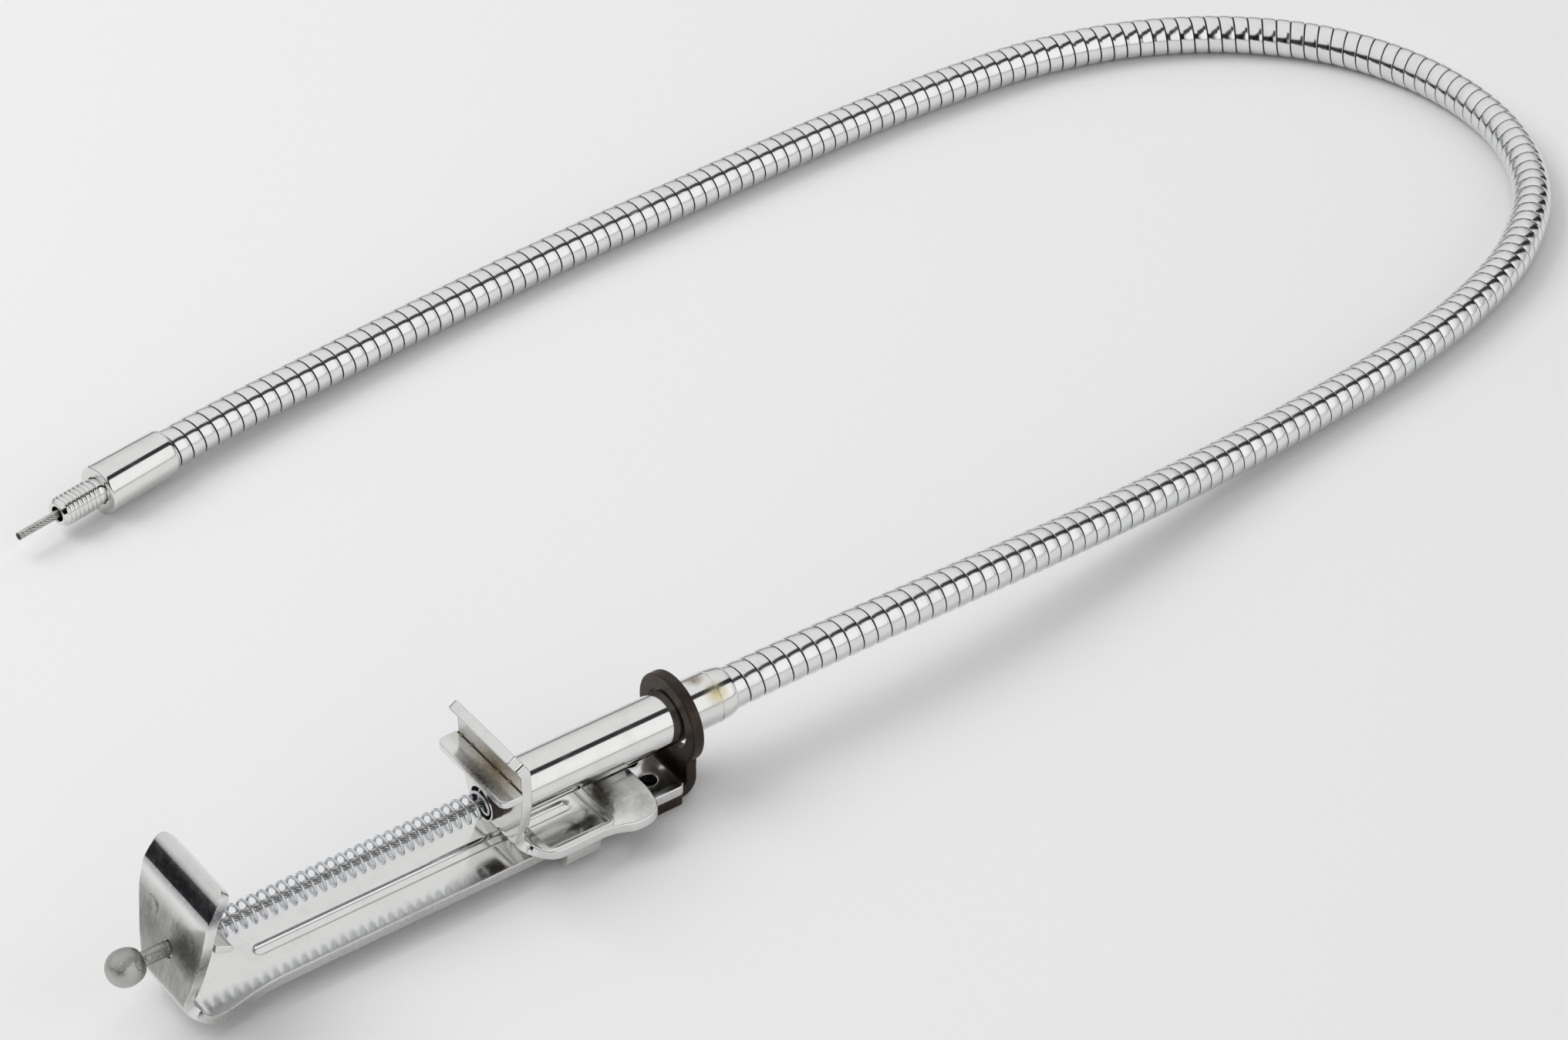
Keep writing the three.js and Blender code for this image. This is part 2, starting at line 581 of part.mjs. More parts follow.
function armouredHose() {
  const length = hoseCurve.getLength();
  const outer = [];
  const inner = [];
  const straight = (2 * HOSE_R) / length;
  for (let i = 0; i < RIB_COUNT; i += 1) {
    const from = straight + ((1 - 2 * straight) * i) / RIB_COUNT;
    const to = straight + ((1 - 2 * straight) * (i + 0.72)) / RIB_COUNT;
    for (const [share, radius] of [[from, HOSE_R - RIB_GROOVE], [to, HOSE_R]]) {
      const { centre, across, up } = hoseFrame(share);
      outer.push(ringAt(centre, across, up, radius, 8));
    }
  }
  for (let i = 0; i <= RIB_COUNT; i += 5) {
    const share = straight + ((1 - 2 * straight) * i) / RIB_COUNT;
    const { centre, across, up } = hoseFrame(Math.min(1, share));
    inner.push(ringAt(centre, across, up, HOSE_BORE_R, 8));
  }
  const first = hoseFrame(0);
  const last = hoseFrame(1);
  outer.unshift(ringAt(first.centre, first.across, first.up, HOSE_R - RIB_GROOVE, 8));
  outer.push(ringAt(last.centre, last.across, last.up, HOSE_R - RIB_GROOVE, 8));
  inner.unshift(ringAt(first.centre, first.across, first.up, HOSE_BORE_R, 8));
  inner.push(ringAt(last.centre, last.across, last.up, HOSE_BORE_R, 8));
  const shell = toSolid(ringsGeometry([...outer, ...inner.reverse(), outer[0]], false));
  return shell;
}

// ---- pieces on the hose's far end, drawn along their own X axis and then laid in place ----
const fittingPlace = new THREE.Matrix4()
  .makeRotationZ(Math.PI + FITTING_AZIMUTH)
  .setPosition(FITTING_REAR);

const SLEEVE_STEP = HOSE_IN_SLEEVE + GAP; // the hose stops here inside the sleeve
const NIPPLE_ROOT_R = 2.45;
const NIPPLE_HOLE_R = 1.35;
const NIPPLE_HEAD = { radius: 3.8, length: 3 };

function fittingSleeve() {
  const hole = THREAD_R + 0.3;
  const headEnd = SLEEVE_STEP + NIPPLE_HEAD.length + 2 * GAP;
  const profile = [
    [0.4, 4.3], [0.4, 4.5], [0.9, 4.75], [SLEEVE_LENGTH - 0.3, SLEEVE_R],
    [SLEEVE_LENGTH, SLEEVE_R - 0.3], [SLEEVE_LENGTH, hole], [headEnd, hole], [headEnd, 4.3], [0.4, 4.3],
  ];
  return turned(profile, 32).applyMatrix4(fittingPlace);
}

function threadedNipple() {
  const headStart = SLEEVE_STEP + GAP / 2;
  const headEnd = headStart + NIPPLE_HEAD.length;
  const front = SLEEVE_LENGTH + NIPPLE_LENGTH;
  const profile = [[headStart, NIPPLE_HOLE_R], [headStart, NIPPLE_HEAD.radius], [headEnd, NIPPLE_HEAD.radius],
    [headEnd, NIPPLE_ROOT_R + 0.1], [front - THREAD_COUNT * THREAD_PITCH - 0.4, NIPPLE_ROOT_R + 0.1]];
  for (let i = 0; i < THREAD_COUNT; i += 1) {
    const at = front - (THREAD_COUNT - i) * THREAD_PITCH - 0.3;
    const crest = i === THREAD_COUNT - 1 ? THREAD_R - 0.2 : THREAD_R;
    profile.push([at, NIPPLE_ROOT_R], [at + 0.4, crest], [at + 0.6, crest]);
  }
  profile.push([front, NIPPLE_ROOT_R - 0.3], [front, NIPPLE_HOLE_R], [headStart, NIPPLE_HOLE_R]);
  return turned(profile, 24).applyMatrix4(fittingPlace);
}

function tailCable() {
  const tip = SLEEVE_LENGTH + NIPPLE_LENGTH + TAIL_OUT;
  return turned([[-TAIL_INSIDE, 0], [-TAIL_INSIDE, CABLE_R], [tip, CABLE_R], [tip, 0]], 12)
    .applyMatrix4(fittingPlace);
}

// The cable's long middle stretch, inside the hose's bore.
const CORE_START_X = 53;

function coreCable() {
  const length = hoseCurve.getLength();
  const begin = (CORE_START_X - (TUBE_END_X - HOSE_IN_TUBE)) / length;
  const end = 1 - (HOSE_IN_SLEEVE + TAIL_INSIDE + 1) / length;
  const points = Array.from({ length: 73 }, (unused, i) => (
    hoseCurve.getPointAt(begin + ((end - begin) * i) / 72)
  ));
  const section = shapeOf(Array.from({ length: 8 }, (unused, k) => [
    CABLE_R * Math.cos((Math.PI * k) / 4), CABLE_R * Math.sin((Math.PI * k) / 4),
  ]));
  return new THREE.ExtrudeGeometry(section, { steps: 72, extrudePath: new THREE.CatmullRomCurve3(points) });
}

// ---- assembly ----
addPart("jaw_rail", toGeometry(jawRail()), finishes.chrome);
addPart("front_jaw_ledge", toGeometry(frontLedge()), finishes.chrome);
addPart("ledge_rivet_near", ledgeRivet(-1), finishes.chrome);
addPart("ledge_rivet_far", ledgeRivet(1), finishes.chrome);
addPart("guide_eye_bracket", toGeometry(guideBracket()), finishes.blackOxide);
addPart("ball_terminal", ballTerminal(), finishes.zincCasting);
addPart("front_cable", frontCable(), finishes.strandSteel);
const spring = compressionSpring();
addPart("return_spring", spring.geometry, finishes.zincWire);
addPart("rear_jaw_bracket", toGeometry(jawBracket()), finishes.chrome);
addPart("rear_jaw_ledge", toGeometry(rearLedge()), finishes.chrome);
addPart("guide_tube", guideTube(), finishes.chrome);
addPart("spring_bush", springBush(), finishes.blackOxide);
addPart("armoured_hose", toGeometry(armouredHose()), finishes.hoseSteel);
addPart("core_cable", coreCable(), finishes.strandSteel);
addPart("fitting_sleeve", fittingSleeve(), finishes.chrome);
addPart("threaded_nipple", threadedNipple(), finishes.chrome);
addPart("tail_cable", tailCable(), finishes.strandSteel);

const springGap = leastGap(spring.centres, SPRING_WIRE, 5);
console.log("least gap between the spring's turns, mm:", springGap.toFixed(2));
const hoseGap = leastGap(hoseCurve.getSpacedPoints(400), 2 * HOSE_R, 40);
console.log("least gap of the hose to itself, mm:", hoseGap.toFixed(2));

object.position.x = -(BALL_X - BALL_R + TUBE_END_X) / 2;

export default object;
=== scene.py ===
"""Flexible clamp head: the finished pieces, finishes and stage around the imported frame.

Lengths in the outlines are millimetres in the drawing's own frame, whose X = 0 is the fixed jaw's
upright and whose Z = 0 is the table. at() turns them into metres in the frame of the object. A bmesh
holds metres.
"""

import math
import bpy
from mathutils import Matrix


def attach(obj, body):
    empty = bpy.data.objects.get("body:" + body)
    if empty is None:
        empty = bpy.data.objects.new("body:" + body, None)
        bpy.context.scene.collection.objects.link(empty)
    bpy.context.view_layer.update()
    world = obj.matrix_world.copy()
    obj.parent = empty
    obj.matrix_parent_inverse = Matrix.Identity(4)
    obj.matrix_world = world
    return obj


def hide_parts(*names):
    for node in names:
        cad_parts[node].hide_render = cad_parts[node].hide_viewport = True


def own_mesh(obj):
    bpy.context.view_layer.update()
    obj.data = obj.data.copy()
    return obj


bl_info = {
    "name": "Flexible Clamp Head",
    "version": (1, 0, 0),
    "blender": (4, 5, 0),
    "location": "View3D > Sidebar > Clamp Head",
    "description": "Pieces, finishes and stage of a sprung clamp head on an armoured hose",
    "category": "Object",
}

import bmesh
import bpy
from bpy.props import FloatProperty, FloatVectorProperty, IntProperty, PointerProperty
from mathutils import Euler, Matrix, Vector

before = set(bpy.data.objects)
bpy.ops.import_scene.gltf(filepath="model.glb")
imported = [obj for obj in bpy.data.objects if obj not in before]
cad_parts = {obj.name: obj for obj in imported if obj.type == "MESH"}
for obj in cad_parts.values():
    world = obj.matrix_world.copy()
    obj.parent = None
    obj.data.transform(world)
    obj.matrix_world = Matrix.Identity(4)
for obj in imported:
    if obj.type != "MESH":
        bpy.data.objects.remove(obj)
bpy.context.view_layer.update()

MM = 0.001
SHIFT_X = 14.0  # the drawing's X = 0 in the frame of the object, mm
AXIS_Z = 14.2  # height of the tube, the spring and the cable
HEAD_AXIS = Vector((SHIFT_X * MM, 0, AXIS_Z * MM))
RAIL_Z = 3.9  # height of the middle of the rail's sheet
RAIL_HOLE_X = 29.1
RAIL_HOLE_Y = 3.0
RAIL_SHEET = 2.1
BRACKET_SHEET = 2.2
FIXED_SHEET = 2.0
JAW_LEAN = math.radians(11.7)

FITTING_AZIMUTH = math.radians(10.8)
FITTING_REAR = (8.7, 128.6, 5.0)
SLEEVE_LENGTH = 16.9
NIPPLE_LENGTH = 9.9
THREAD_ROOT = 2.62
THREAD_CREST = 3.0

CABLE_FRONT_X = -61.7
CABLE_REAR_X = 8.0
TAIL_OUT = 9.2
TAIL_INSIDE = 23.0
WIRE_COUNT = 12
WIRE_SIDES = 6
LAY_STEPS = 18

SPRING_START_X = -61.4
SPRING_END_X = 2.7
SPRING_RADIUS = 2.58
SPRING_STEPS = 28

HOSE_START_X = 42.0  # the hose goes on inside the guide tube up to here
HOSE_SIDES = 24
HOSE_BORE = 1.7  # radius of the hollow at the hose's start, which the cable's end moves in
HOSE_BORE_DEPTH = 14
HOSE_PATH_STEPS = 160
# Places that the hose's middle line passes through, from inside the tube to inside the sleeve
HOSE_ROUTE = [
    (36.8, 0, 14.2), (46, 0, 14.2), (58, 0, 14.2), (70, 0, 14.1), (85, 0.1, 13.7),
    (105, 0.9, 12.4), (126, 2.6, 10.2), (148, 5, 7.8), (171, 7.9, 5.6), (196, 11, 4.3),
    (219, 14.1, 4), (242, 19.3, 4), (263, 27.8, 4), (280.6, 41.8, 4), (291, 61, 4),
    (292.8, 83.8, 4), (285.6, 105.7, 4), (271.2, 122.8, 4), (251.3, 135.1, 4),
    (229.5, 141.6, 4), (206.5, 143.9, 4), (184, 144.4, 4), (160.6, 143.8, 4),
    (138.4, 142.7, 4), (115.1, 141.5, 4), (92, 139.8, 4), (66, 137, 4.2), (40, 133.4, 4.7),
    (22, 130.8, 5), FITTING_REAR, (0.8416, 127.1009, 5),
]


def at(x, y, z):
    """A point of the drawing, in metres in the frame of the object."""
    return Vector(((x + SHIFT_X) * MM, y * MM, z * MM))


# ---- sizes, colours and light that a user would change ----
def length_mm(name, description, default):
    """A length of the drawing, in millimetres."""
    return FloatProperty(name=name, description=description, default=default, min=0.0, precision=3)


class ClampSizes(bpy.types.PropertyGroup):
    edge_round: length_mm("Edge rounding", "Radius on the stamped plates' edges, mm", 0.28)
    hose_pitch: length_mm("Hose pitch", "Length of one turn of the hose's strip, mm", 3.1)
    hose_radius: length_mm("Hose radius", "Outer radius of the armoured hose, mm", 4.0)
    hose_groove: length_mm("Hose groove", "Depth of the groove between two turns, mm", 0.42)
    spring_wire: length_mm("Spring wire", "Diameter of the spring's wire, mm", 0.58)
    spring_turns: IntProperty(name="Spring turns", description="Turns of the spring", default=35, min=4)
    cable_radius: length_mm("Cable radius", "Outer radius of the stranded cable, mm", 0.8)
    cable_lay: length_mm("Cable lay", "Length of one turn of the cable's strands, mm", 10.3)
    thread_pitch: length_mm("Thread pitch", "Pitch of the nipple's thread, mm", 1.0)


def colour(name, description, default):
    """A colour of a finish."""
    return FloatVectorProperty(
        name=name, description=description, default=default, size=3, min=0.0, max=1.0, subtype="COLOR"
    )


class ClampFinishes(bpy.types.PropertyGroup):
    chrome: colour("Chrome", "Bright plating on the jaws, tube and sleeve", (0.8, 0.8, 0.79))
    hose: colour("Hose strip", "Plated strip of the hose", (0.82, 0.825, 0.825))
    zinc: colour("Zinc wire", "Zinc on the spring's wire", (0.7, 0.735, 0.765))
    casting: colour("Casting", "Die-cast ball end", (0.49, 0.495, 0.47))
    strand: colour("Strands", "Bare steel strands of the cable", (0.68, 0.68, 0.66))
    oxide: colour("Black oxide", "Brown-black oxide of the eye bracket", (0.035, 0.027, 0.022))
    straw: colour("Straw tint", "Heat tint beside a weld", (0.34, 0.28, 0.19))
    # painted shade in the hose's grooves and along the weld's seam, and the cable's dark cut ends
    shade_and_dark_ends: colour("Shade and dark ends", "Painted shade in grooves and the weld's seam, and dark cable ends", (0.05, 0.04, 0.03))
    chrome_roughness: FloatProperty(
        name="Chrome roughness", description="Roughness of the bright plating", default=0.13,
        min=0.0, max=1.0, subtype="FACTOR",
    )


class ClampLight(bpy.types.PropertyGroup):
    soft_box: FloatProperty(
        name="Soft box", description="Power of the key soft box", default=8.0, min=0.0,
        subtype="POWER", unit="POWER",
    )
    surround: FloatProperty(
        name="Surround", description="Strength of the studio's surround", default=1.0, min=0.0
    )
    floor: colour("Floor", "Colour of the pale floor", (0.86, 0.86, 0.86))


# ---- drawing helpers ----
def everything(bm):
    """All points, edges and faces of a bmesh."""
    return bm.verts[:] + bm.edges[:] + bm.faces[:]


def new_points(geometry):
    """The points among what an operator made."""
    return [g for g in geometry if isinstance(g, bmesh.types.BMVert)]


def new_rim(geometry):
    """The open edges among what an operator made."""
    return [g for g in geometry if isinstance(g, bmesh.types.BMEdge) and g.is_boundary]


def open_edges(bm, test=lambda co: True):
    """The open edges whose two ends pass the test."""
    return [e for e in bm.edges if e.is_boundary and all(test(v.co) for v in e.verts)]


def slide(bm, x):
    """Moves every point along X, in metres."""
    bmesh.ops.translate(bm, verts=bm.verts[:], vec=(x, 0, 0))


def spin_on(bm, step, angle, steps):
    """Spins an open section about X, moved on along X by a step in metres each time."""
    bmesh.ops.spin(
        bm, geom=bm.verts[:] + bm.edges[:], cent=(0, 0, 0), axis=(1, 0, 0), dvec=(step, 0, 0),
        angle=angle, steps=steps, use_merge=False, use_duplicate=False,
    )


def lines(rows):
    """A bmesh with one open line of points, given in metres."""
    bm = bmesh.new()
    points = [bm.verts.new(row) for row in rows]
    for a, b in zip(points, points[1:]):
        bm.edges.new((a, b))
    return bm


def turned(profile, sides=48):
    """A bmesh of a profile of (x, radius) in mm, turned about the X axis."""
    bm = lines([(x * MM, 0, r * MM) for x, r in profile])
    bmesh.ops.spin(
        bm, geom=bm.verts[:] + bm.edges[:], cent=(0, 0, 0), axis=(1, 0, 0), dvec=(0, 0, 0),
        angle=2 * math.pi, steps=sides, use_merge=True, use_duplicate=False,
    )
    bmesh.ops.remove_doubles(bm, verts=bm.verts[:], dist=1e-6)
    bmesh.ops.recalc_face_normals(bm, faces=bm.faces[:])
    return bm


def wound(section, pitch, turns, sides):
    """A bmesh of a line of points in metres, wound about X for at least that number of turns."""
    bm = lines(section)
    spin_on(bm, pitch / sides, 2 * math.pi, sides)
    made = 1
    while made < turns:
        copy = bmesh.ops.duplicate(bm, geom=everything(bm))
        bmesh.ops.translate(bm, verts=new_points(copy["geom"]), vec=(made * pitch, 0, 0))
        made *= 2
    bmesh.ops.remove_doubles(bm, verts=bm.verts[:], dist=2e-6)
    return bm


def cut(bm, x, keep_low):
    """Cuts the mesh square across X and keeps one side."""
    bmesh.ops.bisect_plane(
        bm, geom=everything(bm), dist=1e-7, plane_co=(x, 0, 0), plane_no=(1, 0, 0),
        clear_outer=keep_low, clear_inner=not keep_low,
    )


def go_on(bm, x, steps):
    """Carries the open end that was cut at x on through round steps of (shift, radius) in mm."""
    loop = open_edges(bm, lambda co: abs(co.x - x) < 2e-6)
    for shift, radius in steps:
        loop = new_rim(bmesh.ops.extrude_edge_only(bm, edges=loop)["geom"])
        for v in {v for e in loop for v in e.verts}:
            now = math.hypot(v.co.y, v.co.z)
            v.co = (x + shift * MM, v.co.y * radius * MM / now, v.co.z * radius * MM / now)


def cap(bm):
    """Closes the open ends of a mesh and turns every face outwards."""
    bmesh.ops.holes_fill(bm, edges=open_edges(bm), sides=0)
    bmesh.ops.recalc_face_normals(bm, faces=bm.faces[:])


def bent_line(corners, radii, turn):
    """A broken line of (a, b) points in mm with a bend at each inner corner, rounded in steps."""
    line = [Vector(corners[0])]
    for before, here, after, radius in zip(corners, corners[1:], corners[2:], radii):
        here = Vector(here)
        back = (Vector(before) - here).normalized()
        ahead = (Vector(after) - here).normalized()
        opening = back.angle(ahead)
        centre = here + (back + ahead).normalized() * (radius / math.sin(opening / 2))
        first = here + back * (radius / math.tan(opening / 2)) - centre
        last = here + ahead * (radius / math.tan(opening / 2)) - centre
        sweep = first.angle_signed(last)
        steps = max(2, math.ceil(abs(sweep) / turn))
        for k in range(steps + 1):
            spoke = first.copy()
            spoke.rotate(Matrix.Rotation(-sweep * k / steps, 2))
            line.append(centre + spoke)
    line.append(Vector(corners[-1]))
    return line


class Fold:
    """The middle line of a bent sheet in the head's (x, z) plane, by length in mm."""

    def __init__(self, corners, radii, turn=0.14):
        self.points = bent_line(corners, radii, turn)
        self.along = [0.0]
        for a, b in zip(self.points, self.points[1:]):
            self.along.append(self.along[-1] + (b - a).length)
        self.length = self.along[-1]

    def place(self, s):
        """The point that far along the sheet."""
        i = 0
        while i < len(self.along) - 2 and self.along[i + 1] < s:
            i += 1
        share = (s - self.along[i]) / (self.along[i + 1] - self.along[i])
        return self.points[i].lerp(self.points[i + 1], share)

    def at_height(self, z):
        """How far along the sheet last rises through a height."""
        for i in range(len(self.points) - 1, 0, -1):
            low, high = self.points[i - 1].y, self.points[i].y
            if low < z <= high:
                share = (z - low) / (high - low)
                return self.along[i - 1] + share * (self.along[i] - self.along[i - 1])
        return self.length


def arc(centre, radius, start, end, steps):
    """Points on a round corner, angles in degrees."""
    return [
        (centre[0] + radius * math.cos(math.radians(start + (end - start) * k / steps)),
         centre[1] + radius * math.sin(math.radians(start + (end - start) * k / steps)))
        for k in range(steps + 1)
    ]


def punch(bm, low, high):
    """Cuts a hole in a flat blank. low and high are its two halves, the second on from the first."""
    first, last = (Vector((a * MM, b * MM, 0)) for a, b in (low[0], low[-1]))
    across = (last - first).normalized()
    bmesh.ops.bisect_plane(
        bm, geom=everything(bm), dist=1e-8, plane_co=first, plane_no=(across.y, -across.x, 0)
    )
    ends = []
    for point in (first, last):
        for edge in bm.edges:
            a, b = (v.co for v in edge.verts)
            share = (point - a).dot(b - a) / (b - a).length_squared
            if 0 < share < 1 and (a.lerp(b, share) - point).length < 1e-7:
                ends.append(bmesh.utils.edge_split(edge, edge.verts[0], share)[1])
                break
    between = next(e for e in ends[0].link_edges if e.other_vert(ends[0]) == ends[1])
    middle = bmesh.utils.edge_split(between, ends[0], 0.5)[1]
    for face in list(middle.link_faces):
        inner = next(loop for loop in face.loops if loop.vert == middle)
        towards_last = inner.link_loop_next.vert == ends[1]
        half = high[::-1] if towards_last else low
        path = [Vector((a * MM, b * MM, 0)) for a, b in half[1:-1]]
        bmesh.utils.face_split(face, ends[0], ends[1], coords=path)
    bmesh.ops.delete(bm, geom=list(middle.link_faces), context="FACES_ONLY")
    bmesh.ops.delete(bm, geom=[middle], context="VERTS")


ROW_SNAP = 0.26  # a row this close to a point of the outline goes through that point, mm
WELD_GAP = 0.11  # points of a blank that are closer than this become one, mm


def flat_pattern(outline, holes, rows, columns=()):
    """A flat blank of (along, across) points in mm with holes, cut across at the rows and columns."""
    bm = bmesh.new()
    bm.faces.new([bm.verts.new((a * MM, b * MM, 0)) for a, b in outline])
    bm.normal_update()
    if bm.faces[:][0].normal.z < 0:
        bmesh.ops.reverse_faces(bm, faces=bm.faces[:])
    for low, high in holes:
        punch(bm, low, high)
    marks = [a for a, b in outline]
    nearest = [(row, min(marks, key=lambda mark: abs(mark - row))) for row in rows]
    rows = sorted({mark if abs(mark - row) < ROW_SNAP else row for row, mark in nearest})
    for axis, places in (((1, 0, 0), rows), ((0, 1, 0), columns)):
        for value in places:
            bmesh.ops.bisect_plane(
                bm, geom=everything(bm), dist=1e-7, plane_co=[c * value * MM for c in axis],
                plane_no=axis,
            )
    bmesh.ops.remove_doubles(bm, verts=bm.verts[:], dist=WELD_GAP * MM)
    return bm


def round_hole(along, across, radius, steps=12):
    """The two halves of a round hole."""
    centre = (along, across)
    return arc(centre, radius, 90, 270, steps), arc(centre, radius, -90, 90, steps)


EDGE_SEGMENTS = 3


def grow(bm, faces, reach):
    """Extrudes faces by a vector in metres, and turns every face outwards."""
    grown = bmesh.ops.extrude_face_region(bm, geom=faces)["geom"]
    bmesh.ops.translate(bm, verts=new_points(grown), vec=reach)
    bmesh.ops.recalc_face_normals(bm, faces=bm.faces[:])


def thicken(bm, thickness, radius):
    """Makes a flat blank a plate about its plane and rounds its edges, before it is bent."""
    bmesh.ops.translate(bm, verts=bm.verts[:], vec=(0, 0, -thickness / 2 * MM))
    grow(bm, bm.faces[:], (0, 0, thickness * MM))
    sharp = [e for e in bm.edges if abs(e.verts[0].co.z - e.verts[1].co.z) < 1e-7
             and len(e.link_faces) == 2 and e.calc_face_angle() > math.radians(60)]
    bmesh.ops.bevel(
        bm, geom=sharp, offset=radius * MM, offset_type="OFFSET", affect="EDGES",
        segments=EDGE_SEGMENTS, profile=0.5, material=-1, clamp_overlap=False,
    )


def fold_up(bm, fold, height=lambda x, y: 0.0):
    """Bends a flat blank along the fold. height(x, y) lifts it in mm, and what is pressed stays so."""
    for v in bm.verts:
        s = v.co.x / MM
        spot = fold.place(s)
        ahead = (fold.place(min(s + 0.05, fold.length)) - fold.place(max(s - 0.05, 0))).normalized()
        spot = spot + Vector((ahead.y, -ahead.x)) * (v.co.z / MM)
        y = v.co.y / MM
        v.co = at(spot.x, y, spot.y + height(spot.x, y))


def sheet_finish(made, thickness=0.0, radius=0.0):
    """Gives a bent blank its thickness and rounds its edges, where asked, and evens its shading."""
    if thickness:
        solid = made.modifiers.new("thickness", "SOLIDIFY")
        solid.thickness = thickness * MM
        solid.offset = 0.0
        solid.use_even_offset = True
    if radius:
        edge = made.modifiers.new("edges", "BEVEL")
        edge.width = radius * MM
        edge.segments = EDGE_SEGMENTS
        edge.limit_method = "ANGLE"
        edge.angle_limit = math.radians(35)
        edge.use_clamp_overlap = False
    even = made.modifiers.new("even shading", "WEIGHTED_NORMAL")
    even.weight = 60
    even.keep_sharp = False


def press(bm, loop, inward, profile):
    """Extrudes a hole's loop step by step inwards and down, and closes it at the bottom.

    inward(point, shift) gives the place of a point of the loop that is moved inwards by the shift.
    profile is a list of (shift, height) steps in mm.
    """
    source = {tuple(v.co): v.co.copy() for e in loop for v in e.verts}
    for shift, height in profile:
        loop = new_rim(bmesh.ops.extrude_edge_only(bm, edges=loop)["geom"])
        moved = {}
        for v in {v for e in loop for v in e.verts}:
            first = source[tuple(v.co)]
            v.co = inward(first, shift * MM)
            v.co.z = first.z + height * MM
            moved[tuple(v.co)] = first
        source = moved
    bmesh.ops.contextual_create(bm, geom=loop)


def eased(table, value):
    """A smooth curve through a table of (place, value), read at one place."""
    places = [row[0] for row in table]
    if value <= places[0]:
        return table[0][1]
    if value >= places[-1]:
        return table[-1][1]
    i = max(k for k in range(len(places) - 1) if places[k] <= value)
    slopes = []
    for k in (i, i + 1):
        low, high = max(k - 1, 0), min(k + 1, len(table) - 1)
        slopes.append((table[high][1] - table[low][1]) / (places[high] - places[low]))
    width = places[i + 1] - places[i]
    t = (value - places[i]) / width
    return (
        (2 * t**3 - 3 * t**2 + 1) * table[i][1] + (t**3 - 2 * t**2 + t) * width * slopes[0]
        + (3 * t**2 - 2 * t**3) * table[i + 1][1] + (t**3 - t**2) * width * slopes[1]
    )


def bar(outline, half, along="y", middle=0.0):
    """A bar along an axis, from an outline of points in mm on the other two axes."""
    axis = "xyz".index(along)
    bm = bmesh.new()
    points = []
    for row in outline:
        spot = list(row)
        spot.insert(axis, middle - half)
        points.append(bm.verts.new(at(*spot)))
    reach = Vector((0, 0, 0))
    reach[axis] = 2 * half * MM
    grow(bm, [bm.faces.new(points)], reach)
    return bm


def piece(name, bm, body, materials, smooth=40.0):
    """Makes a finished piece of a bmesh whose points are in the frame of the object."""
    mesh = bpy.data.meshes.new(name)
    bm.to_mesh(mesh)
    bm.free()
    mesh.polygons.foreach_set("use_smooth", [True] * len(mesh.polygons))
    mesh.set_sharp_from_angle(angle=math.radians(smooth))
    made = bpy.data.objects.new(name, mesh)
    bpy.context.scene.collection.objects.link(made)
    for material in materials:
        mesh.materials.append(material)
    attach(made, body)
    return made


def place(bm, matrix):
    """Moves every point by a matrix."""
    bmesh.ops.transform(bm, matrix=matrix, verts=bm.verts[:])


def head_place():
    """From a piece turned about its own X axis to the axis of the head."""
    return Matrix.Translation(HEAD_AXIS)


def fitting_place():
    """From a piece turned about its own X axis to the fitting on the hose's end."""
    return Matrix.Translation(at(*FITTING_REAR)) @ Matrix.Rotation(
        math.pi + FITTING_AZIMUTH, 4, "Z"
    )


# ---- the hose's middle line ----
def route_line(controls, steps=16):
    """Points along a smooth curve through the controls, spaced by the square root of the chords."""
    knots = [at(*c) for c in controls]
    knots = [2 * knots[0] - knots[1]] + knots + [2 * knots[-1] - knots[-2]]
    points = []
    for i in range(1, len(knots) - 2):
        before, a, b, after = knots[i - 1 : i + 3]
        d0, d1, d2 = ((q - p).length ** 0.5 for p, q in ((before, a), (a, b), (b, after)))
        leave = ((a - before) / d0 - (b - before) / (d0 + d1) + (b - a) / d1) * d1
        reach = ((b - a) / d1 - (after - a) / (d1 + d2) + (after - b) / d2) * d1
        for k in range(steps):
            t = k / steps
            square = (3 * (b - a) - 2 * leave - reach) * t * t
            cube = (leave + reach - 2 * (b - a)) * t * t * t
            points.append(a + leave * t + square + cube)
    points.append(knots[-2])
    return points


class Route:
    """A line of points with places and directions by length."""

    def __init__(self, points):
        self.points = points
        self.along = [0.0]
        for a, b in zip(points, points[1:]):
            self.along.append(self.along[-1] + (b - a).length)
        self.length = self.along[-1]

    def place(self, s):
        """The point that far along, and straight on past either end."""
        if s <= 0:
            return self.points[0] + (self.points[1] - self.points[0]).normalized() * s
        if s >= self.length:
            end = (self.points[-1] - self.points[-2]).normalized()
            return self.points[-1] + end * (s - self.length)
        low, high = 0, len(self.along) - 1
        while high - low > 1:
            middle = (low + high) // 2
            if self.along[middle] <= s:
                low = middle
            else:
                high = middle
        share = (s - self.along[low]) / (self.along[high] - self.along[low])
        return self.points[low].lerp(self.points[high], share)

    def frame(self, s, reach=0.0012):
        """The point and the two directions across the line."""
        ahead = (self.place(s + reach) - self.place(s - reach)).normalized()
        across = Vector((0, 0, 1)).cross(ahead).normalized()
        return self.place(s), across, ahead.cross(across).normalized()


def lay_along(bm, route):
    """Bends a mesh that is straight along X so that it follows the route."""
    known = {}
    for v in bm.verts:
        key = round(v.co.x, 6)
        if key not in known:
            known[key] = route.frame(v.co.x)
        middle, across, up = known[key]
        v.co = middle + across * v.co.y + up * v.co.z


